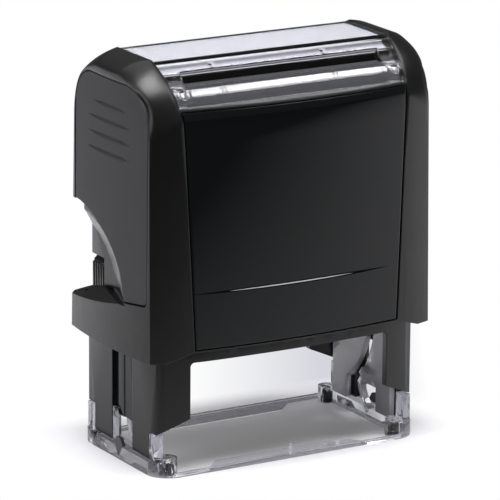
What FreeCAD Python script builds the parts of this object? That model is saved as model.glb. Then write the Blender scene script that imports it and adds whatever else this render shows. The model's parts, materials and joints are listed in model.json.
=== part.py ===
"""Self inking stamp of the 47 x 18 mm class, as a FreeCAD script in millimetres.

Frame: +Z up, origin on the table below the middle of the stamp, X along its length,
-Y towards its front.  The stamp is drawn at rest: shell up, text plate against the pad.

A black leg frame stands on a clear foot.  The shell slides down over the frame on
two springs.  Two arms of the shell carry the axle of the text plate, and a follower
peg on each end of the plate runs in the cam slot of a guide plate, so that the plate
turns over while it goes down.  The ink cartridge lies above the plate and draws out
at the back.
"""
import FreeCAD, Part

import functools
import math
import os

from FreeCAD import Vector

# ---------------------------------------------------------------- driving sizes
imprint_length = 47.0       # text plate along X
imprint_width = 18.0        # text plate along Y
press_travel = 24.0         # way of the shell from rest to paper

# clearances
slide_gap = 0.3             # between parts that slide past each other
fit_gap = 0.05              # shaft in hole, on the radius
seat_gap = 0.1              # parts that are clipped in place
paper_gap = 0.5             # text plate over the paper when the shell is down
pad_gap = 0.6               # ink pad over the text plate at rest
turn_gap = 0.8              # end discs of the text plate beside the arms
guide_gap = 1.5             # axle pins beside the guide plates

# text plate, axle and arms
carrier_thick_up = 3.0
carrier_thick_down = 2.6
carrier_margin = 0.4
carrier_chamfer = 1.2
foam_thick = 0.9
rubber_thick = 1.0
relief_height = 0.5
disc_radius = 6.4
disc_thick = 1.4
follower_offset = 5.0       # distance of the follower peg from the axle
follower_radius = 1.1
axle_radius = 1.5
axle_grip = 4.0             # length of each axle pin inside the carrier
arm_thick = 2.4
arm_half_width = 3.4
arm_head = 2.0              # the arm's head is wider than the arm by this
arm_head_thick = 1.5

# text relief
border_width = 0.8
bar_half_width = 0.8
bar_rows = 4
bar_inset_long = 4.0        # from the end of the plate to the longer bars
bar_inset_short = 9.0

# clear guide plates
guide_thick = 1.4
guide_seat = 0.2            # between guide plate and frame
guide_half_depth = 12.6
guide_foot = 9.0
guide_rise = 4.7            # the plate reaches this far above the axle
column_y = 9.6
column_width = 6.0
hub_size = 2.1
hub_reach = 5.6             # middle of the hub in front of the follower's way
hub_thick = 0.9
tongue_width = 1.5          # curved centring tongue
tongue_root = 0.4           # its root lies this high above the plate's lower edge
tongue_gap = 1.4            # and this far in front of the follower's way
tongue_reach = 4.2          # its tip lies this far in front of its root

# leg frame
frame_wall = 1.8
frame_foot = 3.4            # lower end of the legs
frame_step = 30.0           # above this the frame is narrower
frame_step_inset = 0.6
frame_end_rise = 7.6        # the end walls reach this far above the deck
frame_bow_shoulder = 1.95   # the front is bowed out by this at the opening
frame_bow_middle = 3.3      # and by this in the middle
leg_width = 7.7
opening_top = 26.2
opening_round = 1.0
leg_slope_outer = 9.8       # lower edge of the leg faces at the corner
leg_slope_inner = 13.1      # and at the opening
end_slot_half = 4.75        # gap between the two legs of one end
end_slot_rise = 5.1         # it ends this far above the axle
end_web_thick = 0.8
end_web_foot = 9.6
web_rib_depth = 1.0
web_rib_low = 0.6           # upright rib on each web, from here
web_rib_high = 3.2          # to here
latch_window_middle = -1.6
latch_window_width = 3.8
latch_window_low = 13.4
latch_window_high = 19.4
deck_thick = 1.4
deck_gap = 0.5              # between cartridge and deck
ledge_half = 20.0
ledge_thick = 1.4
ledge_gap = 0.2             # the cartridge clears its ledge by this
ledge_lap = 1.2             # and lies on it by this
end_wall_corner = 1.2       # the end walls keep their corners by this

# ink cartridge
pad_margin = 1.1            # pad beyond the text plate, at its ends
pad_margin_side = 1.5       # and along its sides
pad_thick = 4.0
pad_proud = 0.6             # the pad stands out of its tray by this
tray_margin = 0.9           # tray beyond the pad, at its ends
tray_front_wall = 2.0
tray_back_wall = 4.8
tray_height = 8.0
tray_wall = 0.8
handle_front = 9.8          # the wide bar at the back of the cartridge
grip_rise = 0.2             # the grips stand above the tray by this
grip_block_ribs = 5
grip_block_inset = 0.5
grip_block_chamfer = 1.2
grip_rib_drop = 1.6         # the ribs end this far below the top of the grip
tray_floor_gap = 1.2        # hollow of the tray above the pad and under its top

# springs
spring_x = 14.0
spring_radius = 2.85        # to the middle of the wire
wire_radius = 0.35
spring_length = 42.2        # at rest
spring_coils = 9
peg_radius = 2.1
peg_height = 4.0
peg_chamfer = 0.5

# outer form of the shell
shell_wall = 1.8
shell_end_wall = 2.8        # thickness of the end walls beside the frame
shell_end_bulge = 1.4       # the end faces are bowed outwards by this
shell_corner_wall = 2.6     # shell beyond the frame at the corners
shell_shoulder_bow = 2.6    # the front is bowed out by this at the edge of the panel
shell_middle_bow = 4.45     # and by this in the middle
corner_bow_width = 9.8      # width of the tighter corner bow
shell_draft_front = 0.5     # the front leans back by this up to the roll
shell_draft_corner = 1.1    # and its corners by this
shell_draft_end = 0.6       # and each end face by this
roof_thick = 3.5
roof_wall = 1.5             # thickness under the sides of the window
roll_height = 12.0          # the front rolls back to the top over this height
roll_flat = 9.3             # half depth of the flat top
roll_fullness = 0.84         # the roll bulges out to this share of the half depth
roll_sag = 3.85             # and its bulge lies this far below the top
band_width = 7.2            # width of the rounded band to the end face
band_drop = 2.2             # the band ends this far below the top
band_curve = 2.6            # power of its fall towards the end face
end_roll_height = 13.4      # the same sizes where the band meets the end face
end_flat = 5.5
end_fullness = 0.95
end_sag = 2.6
cavity_depth = 13.8         # nearer to the top the inside narrows

# clear window on top
window_side_gap = 0.2       # between its lower corner and the band
window_taper = 1.2          # it is wider at the crest by this
window_height = 9.3         # from its lower rim to the crest
window_sink = 0.4           # it lies this deep under the bands
window_wall = 1.7
slot_near = 12.5            # card slot, from here
slot_far = 14.7             # to here, measured from the middle
slot_end = 3.6              # between the slot and the side of the window
card_end = 1.2              # between the card and the side of the window
card_front = 6.6
card_back = 9.4
card_thick = 0.25

# front and back panels
panel_lift = 2.45           # lower edge above the lower edge of the shell
panel_drop = 10.0           # upper edge below the crest
panel_side_gap = 0.4        # upper corner beside the band
panel_side_step = 0.5       # the side leans in by this down to the bend
panel_side_lean = 2.1       # and by this below it
panel_bend_drop = 8.3       # the bend lies this far below the upper edge
panel_thick = 0.7
back_panel_gap = 2.5        # back panel above the opening for the cartridge
wing_drop_inset = 0.5       # the lower edge steps down between the panel and here

# side panels and the finger dishes behind them
side_panel_thick = 0.8
side_panel_drop = 4.8       # upper edge below the crest
side_panel_front_gap = 1.4  # between its front edge and the corner
side_panel_back_gap = 1.9
side_panel_foot_gap = 0.1   # its lower edge lies above the belt by this
side_panel_foot_rise = 1.1  # the lower edge rises by this to the front
side_panel_foot_round = 1.6
side_panel_corner_y = 8.8
side_panel_corner_z = 10.5
grip_rows = 4
grip_drop = 6.3             # upper grip below the upper edge of the side panel
grip_pitch = 3.65
grip_half_length = 9.8
grip_middle = -0.6
grip_short = 2.4            # the upper grip is shorter by this at each end
grip_width = 1.15
grip_depth = 0.5
dish_rise = 11.6            # upper end of the dish above the deck
dish_front = 7.7            # its foremost point, in front of the middle
dish_slope = 12.0           # it runs back this far on its way through the wall
dish_tail_y = 16.0          # its curve starts here, at its upper end
dish_bend_y = 3.0           # bends here
dish_bend_drop = 3.2        # and this far lower
dish_waist = 1.6            # and passes this far behind its foremost point
dish_waist_drop = 0.4       # at this height below the top of the deck
dish_lap = 0.6              # it reaches this far below the belt's upper edge
belt_height_back = 7.1      # belt above the lower edge of the shell, at the back
belt_height_front = 11.9    # and where it meets the side panel
filling_lift = 3.0          # the thick end wall starts this far above the lower edge
belt_slant = 2.4            # the belt's upper edge rises inwards by this
cartridge_door_lap = 2.1    # the back is open behind this part of the cartridge
groove = 0.14               # joint line round each panel
rib_width = 1.4             # guide ribs inside the shell
rib_front_y = -11.0
rib_back_y = 8.0
rib_middle_x = 20.0
rib_middle_drop = 12.3      # the front ribs end this far below the roll
rib_end_drop = 4.0          # and the end ribs this far
rib_lift = 1.0              # they start this far above the lower edges
rib_skin = 1.0              # the end ribs reach this near to the outer skin

# clear foot
foot_step = 1.06            # foot beyond the frame at the ends
foot_depth_step = 2.9       # and beyond its corners at the front
foot_corner = 5.5
foot_rim_height = 0.9
foot_rim_width = 1.1
foot_end_height = 3.2
foot_end_width = 4.2
flange_inset = 4.0          # the flanges end this far inside the opening
flange_taper = 5.5
flange_inner = 13.0
flange_height = 0.5
post_inner_y = 13.0
post_height = 9.5
boss_inset_x = 4.56
boss_inset_y = 3.9
boss_radius = 2.15
boss_height = 3.9
plug_radius = 1.5
plug_height = 3.2
plug_round = 0.6
tick_height = 3.5
tick_width = 0.6
hook_thick = 0.7            # hooked tongue of the foot in each end slot
hook_height = 11.2
hook_back = 4.4
mark_thick = 0.8            # arrow at the middle of each end rail
mark_half_width = 2.0
mark_low = 0.8
mark_high = 5.2
mark_waist = 3.6
mark_top_half = 0.9

# ---------------------------------------------------------------- derived sizes
plate_rise = carrier_thick_up + foam_thick + rubber_thick + relief_height
axle_height = press_travel + paper_gap + plate_rise
carrier_half_length = imprint_length / 2 + carrier_margin
carrier_half_width = imprint_width / 2 + carrier_margin
disc_outer = carrier_half_length + disc_thick
arm_inner = disc_outer + turn_gap
arm_outer = arm_inner + arm_thick
axle_reach = arm_outer + slide_gap
guide_inner = axle_reach + guide_gap
guide_outer = guide_inner + guide_thick
guide_top = axle_height + guide_rise
frame_inner = guide_outer + guide_seat
frame_half_length = frame_inner + frame_wall
upper_half_length = frame_half_length - frame_step_inset

pad_half_length = imprint_length / 2 + pad_margin
pad_half_depth = imprint_width / 2 + pad_margin_side
pad_face = axle_height + plate_rise + pad_gap
tray_half_length = pad_half_length + tray_margin
tray_front = pad_half_depth + tray_front_wall
tray_back = pad_half_depth + tray_back_wall
tray_low = pad_face + pad_proud
tray_high = tray_low + tray_height
grip_block_low = tray_low
grip_block_high = tray_high + grip_rise

frame_corner_depth = tray_back + frame_step_inset
frame_bow_depth = frame_corner_depth + frame_bow_shoulder
frame_front = frame_corner_depth + frame_bow_middle
opening_half = frame_half_length - leg_width
frame_bow_half = opening_half
end_slot_top = axle_height + end_slot_rise
deck_under = tray_high + deck_gap
deck_top = deck_under + deck_thick
frame_top = deck_top + frame_end_rise
ledge_top = tray_low - ledge_gap

foot_half_length = frame_half_length + foot_step
foot_half_depth = frame_corner_depth + foot_depth_step
flange_half_outer = opening_half - flange_inset
flange_half_inner = flange_half_outer - flange_taper
post_inner_x = frame_inner
boss_x = foot_half_length - boss_inset_x
boss_y = foot_half_depth - boss_inset_y
hook_inner = frame_half_length - hook_thick

shell_bottom = press_travel + foot_end_height + slide_gap
roof_under = deck_top + spring_length
shell_top = roof_under + roof_thick + seat_gap + window_wall + window_sink
shell_half_length = frame_half_length + slide_gap + shell_end_wall
shell_corner_depth = frame_corner_depth + shell_corner_wall
shell_shoulder_depth = shell_corner_depth + shell_shoulder_bow
shell_front = shell_corner_depth + shell_middle_bow
shell_bow_half = shell_half_length - corner_bow_width
roll_start = shell_top - roll_height
band_start = shell_half_length - band_width
end_top = shell_top - band_drop
end_roll_start = end_top - end_roll_height
cavity_step = shell_top - cavity_depth

window_half_low = band_start - window_side_gap
window_half_top = window_half_low + window_taper
window_low = shell_top - window_height
slot_half_length = window_half_low - slot_end
card_half_length = window_half_low - card_end
panel_low = shell_bottom + panel_lift
panel_high = shell_top - panel_drop
panel_half_high = band_start - panel_side_gap
panel_half_mid = panel_half_high - panel_side_step
panel_half_low = panel_half_mid - panel_side_lean
panel_mid = panel_high - panel_bend_drop
wing_drop_half = frame_half_length - wing_drop_inset

dish_top = deck_top + dish_rise
back_panel_low = dish_top + back_panel_gap
belt_back = shell_bottom + belt_height_back
belt_front = shell_bottom + belt_height_front
side_panel_top = shell_top - side_panel_drop
side_panel_front = shell_corner_depth - side_panel_front_gap
side_panel_back = shell_corner_depth - side_panel_back_gap
side_panel_foot = belt_front + side_panel_foot_gap
grip_top = side_panel_top - grip_drop
back_gap_front = tray_back - cartridge_door_lap
far = 60.0                  # past every surface of the stamp


# ---------------------------------------------------------------- small helpers
def box(x0, x1, y0, y1, z0, z1):
    """Block between two corners."""
    return Part.makeBox(x1 - x0, y1 - y0, z1 - z0, Vector(x0, y0, z0))


def cylinder_x(radius, x0, x1, y, z):
    """Round bar along X."""
    return Part.makeCylinder(radius, x1 - x0, Vector(x0, y, z), Vector(1, 0, 0))


def cylinder_z(radius, x, y, z0, z1):
    """Round bar along Z."""
    return Part.makeCylinder(radius, z1 - z0, Vector(x, y, z0))


def polygon(points):
    """Closed wire of straight lines."""
    return Part.makePolygon(points + [points[0]])


def prism(wire, direction):
    """Solid swept straight from a flat closed wire."""
    return Part.Face(wire).extrude(direction)


def prism_x(points, x0, x1):
    """Prism along X of an outline given as (y, z) corners."""
    return prism(polygon([Vector(x0, y, z) for y, z in points]), Vector(x1 - x0, 0, 0))


def prism_y(points, y0, y1):
    """Prism along Y of an outline given as (x, z) corners."""
    return prism(polygon([Vector(x, y0, z) for x, z in points]), Vector(0, y1 - y0, 0))


def bow(x, middle, shoulder, corner, half, end):
    """Half depth at x of a face that is bowed flat up to `half` and tighter up to `end`."""
    x = abs(x)
    flat_curve = (middle - shoulder) / half ** 2
    if x <= half:
        return middle - flat_curve * x ** 2
    slope = 2 * flat_curve * half
    extra = (shoulder - slope * (end - half) - corner) / (end - half) ** 2
    return shoulder - slope * (x - half) - extra * (x - half) ** 2


def bezier(points):
    """Edge of a Bezier curve."""
    curve = Part.BezierCurve()
    curve.setPoles(points)
    return curve.toShape()


def mirror_x(shape):
    """The same piece at the other end of the stamp."""
    return shape.mirror(Vector(0, 0, 0), Vector(1, 0, 0))


def mirror_y(shape):
    """The same piece at the other side of the stamp."""
    return shape.mirror(Vector(0, 0, 0), Vector(0, 1, 0))


def both_ends(shape):
    """A piece and its copy at the other end."""
    return shape.fuse(mirror_x(shape))


def both_sides(shape):
    """A piece and its copy at the other side."""
    return shape.fuse(mirror_y(shape))


# ---------------------------------------------------------------- outer form
def form_section(x, inset, low):
    """Closed (y, z) outline of the shell at one x: upright faces, roll and top.

    From the rim of the window outwards the outline shrinks to that of the end face,
    which makes the rounded band between the two.
    """
    deep = bow(x, shell_front, shell_shoulder_depth, shell_corner_depth,
               shell_bow_half, shell_half_length)
    lean = shell_draft_front + (shell_draft_corner - shell_draft_front) * (
        (shell_front - deep) / (shell_front - shell_corner_depth))
    band = max(0.0, (abs(x) - band_start) / (shell_half_length - band_start))
    drop = shell_top - end_top
    foot = deep - inset
    knee = deep - lean - inset
    knee_z = roll_start - (roll_start - end_roll_start) * min(band, 1.2) - 0.5 * inset
    top = shell_top - drop * band ** band_curve - inset
    flat = roll_flat * knee / (shell_front - shell_draft_front - inset)
    flat = flat + (end_flat - flat) * band
    control = knee * (roll_fullness + (end_fullness - roll_fullness) * band)
    control_z = top - roll_sag + (roll_sag - end_sag) * min(band, 1.0)
    a = Vector(x, -foot, low)
    b = Vector(x, -knee, knee_z)
    c = Vector(x, -flat, top)
    d = Vector(x, flat, top)
    e = Vector(x, knee, knee_z)
    f = Vector(x, foot, low)
    edges = [Part.makeLine(a, b), bezier([b, Vector(x, -control, control_z), c]),
             Part.makeLine(c, d), bezier([d, Vector(x, control, control_z), e]),
             Part.makeLine(e, f), Part.makeLine(f, a)]
    return Part.Wire(edges)


def end_outline(inset, z, lean):
    """Plan of the end faces at one height: bowed ends, far sides."""
    corner = shell_half_length - inset - lean
    crown = corner + shell_end_bulge
    depth = shell_corner_depth
    slack = far / 2
    a = Vector(-corner, -depth, z)
    b = Vector(corner, -depth, z)
    c = Vector(corner, depth, z)
    d = Vector(-corner, depth, z)
    right = Part.Arc(b, Vector(crown, 0, z), c).toShape()
    left = Part.Arc(d, Vector(-crown, 0, z), a).toShape()
    front = Part.makePolygon([a, Vector(-corner, -slack, z), Vector(corner, -slack, z), b])
    back = Part.makePolygon([c, Vector(corner, slack, z), Vector(-corner, slack, z), d])
    return Part.Wire(front.Edges + [right] + back.Edges + [left])


@functools.lru_cache(maxsize=None)
def form(inset, low=shell_bottom):
    """The body of the shell as one solid, with every face moved in by `inset`."""
    reach = shell_half_length + shell_end_bulge + 1.6
    middle = [0.0, 9.0, 18.0, shell_bow_half]
    band = [band_start + (shell_half_length - band_start) * t for t in (0.0, 0.35, 0.7, 1.0)]
    stations = middle + band + [reach]
    stations = [-x for x in reversed(stations[1:])] + stations
    body = Part.makeLoft([form_section(x, inset, low) for x in stations], True, False)
    height = shell_top - shell_bottom
    ends = Part.makeLoft([end_outline(inset, shell_bottom - 5.0, 0.0),
                          end_outline(inset, shell_bottom + height + 5.0, shell_draft_end)],
                         True, True)
    return body.common(ends)


def roll_prism(inset):
    """Straight bar with the outline of the form beside the window."""
    wire = form_section(window_half_low, inset, shell_bottom)
    wire.translate(Vector(-window_half_low - far, 0, 0))
    return prism(wire, Vector(2 * far, 0, 0))


def window_wedge(gap):
    """Space between the two end bands, narrower towards the front and back rims."""
    slope = (window_half_top - window_half_low) / (shell_top - window_low)
    low = window_low + gap
    high = shell_top + 20.0
    half_low = window_half_low - gap
    half_high = window_half_low - gap + slope * (high - window_low)
    return prism_y([(-half_low, low), (half_low, low), (half_high, high), (-half_high, high)],
                   -far / 2, far / 2)


# ---------------------------------------------------------------- shell
def panel_outline(low, grow):
    """(x, z) outline of the front or back panel."""
    edge = [(panel_half_low, panel_low), (panel_half_mid, panel_mid),
            (panel_half_high, panel_high)]
    slope = (panel_half_mid - panel_half_low) / (panel_mid - panel_low)
    half = panel_half_low + slope * (low - panel_low) + grow
    right = [(half, low - grow)] + [(x + grow, z + (grow if z == panel_high else 0.0))
                                    for x, z in edge[1:]]
    return right + [(-x, z) for x, z in reversed(right)]


def face_panel(low, side, thick, grow):
    """Slab of the panel region on the front (side -1) or back (side +1) face."""
    near, away = (-far / 2, -5.0) if side < 0 else (5.0, far / 2)
    region = prism_y(panel_outline(low, grow), near, away)
    return form(0.0).common(region).cut(form(thick))


def side_outline(grow, x):
    """(y, z) outline of a side panel: large round upper corners, slanted foot."""
    top = side_panel_top + grow
    front = -side_panel_front - grow
    back = side_panel_back + grow
    ry = side_panel_corner_y
    rz = side_panel_corner_z
    turn = side_panel_foot_round
    slope = side_panel_foot_rise / (side_panel_front - dish_front)
    foot = side_panel_foot - grow

    def foot_z(y):
        return foot - slope * (y + dish_front)

    a = Vector(x, front, foot_z(front) + turn)
    b = Vector(x, front, top - rz)
    c = Vector(x, front + ry, top)
    d = Vector(x, back - ry, top)
    e = Vector(x, back, top - rz)
    g = Vector(x, back, foot_z(back))
    h = Vector(x, front + turn, foot_z(front + turn))
    edges = [Part.makeLine(a, b), bezier([b, Vector(x, front, top - 1.0), c]),
             Part.makeLine(c, d), bezier([d, Vector(x, back, top - 1.0), e]),
             Part.makeLine(e, g), Part.makeLine(g, h),
             bezier([h, Vector(x, front, foot_z(front)), a])]
    return Part.Wire(edges)


def side_slab(thick, grow):
    """Slab of the side panel region on the right end face."""
    region = prism(side_outline(grow, 20.0), Vector(far, 0, 0))
    slab = form(0.0).common(region)
    return slab.cut(form(thick))


def dish_wire(x, shift):
    """(y, z) outline of the finger dish at one depth; `shift` moves it back and down."""
    back = 40.0
    top = dish_top - 0.35 * shift
    front = -dish_front + shift
    low = belt_front - dish_lap
    a = Vector(x, back, top + 5.0)
    b = Vector(x, dish_tail_y + 0.2 * shift, top)
    c = Vector(x, dish_bend_y + 0.7 * shift, top - dish_bend_drop)
    d = Vector(x, front + dish_waist, deck_top - dish_waist_drop)
    e = Vector(x, front, low)
    f = Vector(x, back, low)
    curve = Part.BSplineCurve()
    curve.interpolate([b, c, d, e])
    edges = [Part.makeLine(a, b), curve.toShape(), Part.makeLine(e, f), Part.makeLine(f, a)]
    return Part.Wire(edges)


def belt_wire(x, rise):
    """(y, z) outline of the space above the belt at one depth."""
    slope = (belt_front - belt_back) / (dish_front + shell_corner_depth)
    slack = 40.0
    edge = belt_back - slope * (slack - shell_corner_depth)
    ceiling = dish_top - 14.0
    return polygon([Vector(x, -dish_front + 0.5 * rise, belt_front + rise),
                    Vector(x, slack, edge + rise), Vector(x, slack, ceiling),
                    Vector(x, -dish_front + dish_slope, ceiling)])


def dish_cutter():
    """Dish that runs inwards and back through the right end wall, and the belt's edge."""
    inner = frame_half_length
    outer = shell_half_length + shell_end_bulge + 1.0
    skin = shell_half_length + shell_end_bulge / 2
    rate = dish_slope / (skin - inner)
    upper = Part.makeLoft([dish_wire(outer, rate * (skin - outer)),
                           dish_wire(inner, dish_slope)], True, True)
    rise = belt_slant / (skin - inner)
    lower = Part.makeLoft([belt_wire(inner, belt_slant), belt_wire(outer, rise * (skin - outer))],
                          True, True)
    return upper, lower


def end_filling():
    """Thick part of the right end wall, in which the dish and the belt are formed."""
    block = box(frame_half_length + slide_gap, far, -dish_front - 2.5, far,
                shell_bottom + filling_lift, dish_top + 3.0)
    return form(0.5).common(block)


def back_gap():
    """Opening across the back of the shell, for the ink cartridge."""
    return box(-far, far, back_gap_front, far, belt_back + 1.0, dish_top)


def bottom_trim():
    """What the lower edge leaves open between the wings at the front and back."""
    half = wing_drop_half
    points = [(-half, shell_bottom - 1.0), (half, shell_bottom - 1.0), (half, shell_bottom),
              (panel_half_low + 0.4, panel_low - 0.5), (-panel_half_low - 0.4, panel_low - 0.5),
              (-half, shell_bottom)]
    front = prism_y(points, -far / 2, -frame_corner_depth)
    return front


def cavity():
    """Space inside the shell, lower under the window than at the ends."""
    walls = form(shell_wall, shell_bottom - 4.0)
    low = walls.common(box(-far, far, -far, far, 0.0, cavity_step))
    deep = roll_prism(window_sink + window_wall + roof_wall)
    deep = deep.common(box(-far, far, -far, far, cavity_step - 0.5, roof_under))
    ends = form(2 * shell_wall, shell_bottom - 4.0)
    return low.fuse(deep.common(ends))


def window_seat():
    """Recess for the window between the end bands."""
    seat = window_wedge(0.0)
    return seat.cut(roll_prism(window_sink + window_wall + seat_gap))


def guide_rib(x0, x1, y, z0, z1):
    """Upright rib inside the shell that runs along the frame."""
    return box(x0, x1, y - rib_width / 2, y + rib_width / 2, z0, z1)


def shell_ribs():
    """Ribs that guide the shell on the frame: at the ends and behind the front."""
    inner = frame_half_length + slide_gap
    outer = shell_half_length - rib_skin
    top = roll_start - rib_end_drop
    front = guide_rib(inner, outer, rib_front_y, shell_bottom + rib_lift, top)
    back = guide_rib(inner, outer, rib_back_y, dish_top + 4.0, top)
    ribs = both_ends(front.fuse(back))
    near = bow(rib_middle_x, frame_front, frame_bow_depth, frame_corner_depth,
               frame_bow_half, frame_half_length) + slide_gap + 0.15
    wall = bow(rib_middle_x, shell_front, shell_shoulder_depth, shell_corner_depth,
               shell_bow_half, shell_half_length) - shell_wall
    half = rib_width / 2
    rib = box(rib_middle_x - half, rib_middle_x + half, -wall - 0.2, -near,
              panel_low + rib_lift, roll_start - rib_middle_drop)
    return ribs.fuse(both_ends(rib))


def make_shell():
    """Outer shell with its recesses, openings, ribs and spring pegs."""
    shell = form(0.0).cut(cavity())
    shell = shell.fuse(shell_ribs()).fuse(both_ends(end_filling()))
    for side, low in ((-1, panel_low), (1, back_panel_low)):
        shell = shell.cut(face_panel(low, side, panel_thick + seat_gap, groove))
    slab = side_slab(side_panel_thick + seat_gap, groove)
    shell = shell.cut(slab).cut(mirror_x(slab))
    for cutter in dish_cutter():
        shell = shell.cut(cutter).cut(mirror_x(cutter))
    shell = shell.cut(back_gap())
    shell = shell.cut(bottom_trim()).cut(mirror_y(bottom_trim()))
    shell = shell.cut(window_seat())
    for x in (-spring_x, spring_x):
        shell = shell.fuse(cylinder_z(peg_radius, x, 0.0, roof_under - peg_height,
                                      roof_under + 0.5))
    return shell.removeSplitter()


def make_side_panel():
    """Matte inlay of the right end face with its four grip grooves."""
    panel = side_slab(side_panel_thick, 0.0)
    for cutter in dish_cutter():
        panel = panel.cut(cutter)
    for row in range(grip_rows):
        z = grip_top - row * grip_pitch
        half = grip_half_length if row else grip_half_length - grip_short
        middle = grip_middle if row else grip_middle - 0.5
        panel = panel.cut(lens_bar(middle, z, half).cut(form(grip_depth)))
    return panel


def lens_bar(middle, z, half):
    """Slim lens outline in (y, z), pulled along X through the end face."""
    x = shell_half_length - 5.0
    tip_a = Vector(x, middle - half, z)
    tip_b = Vector(x, middle + half, z)
    upper = Part.Arc(tip_a, Vector(x, middle, z + grip_width / 2), tip_b).toShape()
    lower = Part.Arc(tip_b, Vector(x, middle, z - grip_width / 2), tip_a).toShape()
    return prism(Part.Wire([upper, lower]), Vector(10.0, 0, 0))


# ---------------------------------------------------------------- window and card
def make_window():
    """Clear window: top plate, card slot, rounded front bar and end pillars."""
    skin = roll_prism(window_sink).cut(roll_prism(window_sink + window_wall))
    window = skin.common(window_wedge(seat_gap))
    for side in (-1, 1):
        y0, y1 = sorted((side * slot_near, side * slot_far))
        window = window.cut(box(-slot_half_length, slot_half_length, y0, y1,
                                window_low, shell_top))
    pocket_top = shell_top - window_sink - window_wall + card_thick + seat_gap
    pocket = box(-card_half_length - 0.2, card_half_length + 0.2, -card_front - 0.2,
                 card_back + 0.2, window_low, pocket_top)
    return window.cut(pocket)


def make_card():
    """Index card that lies on the roof, under the top plate."""
    z = shell_top - window_sink - window_wall - seat_gap
    return box(-card_half_length, card_half_length, -card_front, card_back, z,
               z + card_thick + seat_gap)


# ---------------------------------------------------------------- frame
def frame_outline(inset, z):
    """Plan of the leg frame: flat ends, bowed front and back."""
    end = frame_half_length - inset
    xs = [end, frame_bow_half, 13.0, 0.0, -13.0, -frame_bow_half, -end]

    def depth(x):
        at = min(abs(x) + inset, frame_half_length)
        return bow(at if abs(x) == end else x, frame_front, frame_bow_depth,
                   frame_corner_depth, frame_bow_half, frame_half_length) - inset

    front = Part.BSplineCurve()
    front.interpolate([Vector(-x, -depth(x), z) for x in xs])
    back = Part.BSplineCurve()
    back.interpolate([Vector(x, depth(x), z) for x in xs])
    corner = depth(end)
    return Part.Wire([front.toShape(), Part.makeLine(Vector(end, -corner, z),
                                                     Vector(end, corner, z)),
                      back.toShape(), Part.makeLine(Vector(-end, corner, z),
                                                    Vector(-end, -corner, z))])


def frame_block(inset, z0, z1):
    """Solid of the frame's plan between two heights."""
    return prism(frame_outline(inset, z0), Vector(0, 0, z1 - z0))


def front_opening():
    """Opening through front and back with round upper corners."""
    block = box(-opening_half, opening_half, -far / 2, far / 2, 0.0, opening_top)
    edges = [e for e in block.Edges
             if abs(e.BoundBox.ZMin - opening_top) < 1e-6 and e.BoundBox.YLength > 1.0]
    return block.makeFillet(opening_round, edges)


def leg_foot_cut():
    """Slanted lower edge of the leg faces, with the notch for the corner posts."""
    slope = (leg_slope_inner - leg_slope_outer) / (frame_half_length - opening_half)
    past = 2.0
    points = [(opening_half - past, 0.0), (frame_half_length + past, 0.0),
              (frame_half_length + past, leg_slope_outer - slope * past),
              (opening_half - past, leg_slope_inner + slope * past)]
    return prism_y(points, -far / 2, -post_inner_y + seat_gap)


def cam_path(steps):
    """Way of the follower peg in (y, z) while the shell goes down."""
    points = []
    for i in range(steps + 1):
        turn = math.pi * i / steps
        z = axle_height - press_travel * i / steps
        points.append((-follower_offset * math.cos(turn), z - follower_offset * math.sin(turn)))
    return points


def cam_cutter(radius, x0, x1):
    """Slot along the way of the follower peg."""
    path = cam_path(24)
    left = []
    right = []
    for i, (y, z) in enumerate(path):
        before = path[max(i - 1, 0)]
        after = path[min(i + 1, len(path) - 1)]
        dy = after[0] - before[0]
        dz = after[1] - before[1]
        length = math.hypot(dy, dz)
        left.append(Vector(x0, y - radius * dz / length, z + radius * dy / length))
        right.append(Vector(x0, y + radius * dz / length, z - radius * dy / length))
    edge_a = Part.BSplineCurve()
    edge_a.interpolate(left)
    edge_b = Part.BSplineCurve()
    edge_b.interpolate(list(reversed(right)))
    wire = Part.Wire([edge_a.toShape(), Part.makeLine(left[-1], right[-1]),
                      edge_b.toShape(), Part.makeLine(right[0], left[0])])
    slot = prism(wire, Vector(x1 - x0, 0, 0))
    for y, z in (path[0], path[-1]):
        slot = slot.fuse(cylinder_x(radius, x0, x1, y, z))
    return slot


def make_frame():
    """Leg frame: four legs, lintels, end walls, deck and ledge."""
    lower = frame_block(0.0, frame_foot, frame_step)
    upper = frame_block(frame_step_inset, frame_step, frame_top)
    frame = lower.fuse(upper)
    frame = frame.cut(frame_block(frame_wall, 0.0, far * 2))
    # the front and back walls end at the ledge and the lintel; the end walls go on up
    wall_end = frame_half_length - frame_wall - end_wall_corner
    frame = frame.cut(box(-wall_end, wall_end, -far, 0.0, deck_top, far * 2))
    frame = frame.cut(box(-wall_end, wall_end, 0.0, far, pad_face - slide_gap, far * 2))
    frame = frame.cut(front_opening())
    frame = frame.cut(both_ends(leg_foot_cut())).cut(both_ends(mirror_y(leg_foot_cut())))
    slot = box(frame_inner - 1.0, far, -end_slot_half, end_slot_half, 0.0, end_slot_top)
    frame = frame.cut(both_ends(slot))
    # gap at the back of each end wall for the grips of the cartridge
    gap = box(guide_inner - 1.0, far, handle_front - slide_gap, far,
              grip_block_low - slide_gap, grip_block_high + slide_gap)
    frame = frame.cut(both_ends(gap))
    deck = frame_block(frame_wall - 0.01, deck_under, deck_top)
    deck = deck.common(box(-far, far, -far, tray_back - 1.0, 0.0, far * 2))
    arm_hole = box(arm_inner - slide_gap, arm_outer + slide_gap, -arm_half_width - slide_gap,
                   arm_half_width + slide_gap, 0.0, far * 2)
    deck = deck.cut(both_ends(arm_hole))
    frame = frame.fuse(deck)
    ledge = box(-ledge_half, ledge_half, -frame_bow_depth, -tray_front + ledge_lap,
                ledge_top - ledge_thick, ledge_top)
    ledge = ledge.common(frame_block(frame_wall - 0.01, 0.0, far * 2))
    return frame.fuse(ledge).removeSplitter()


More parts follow.
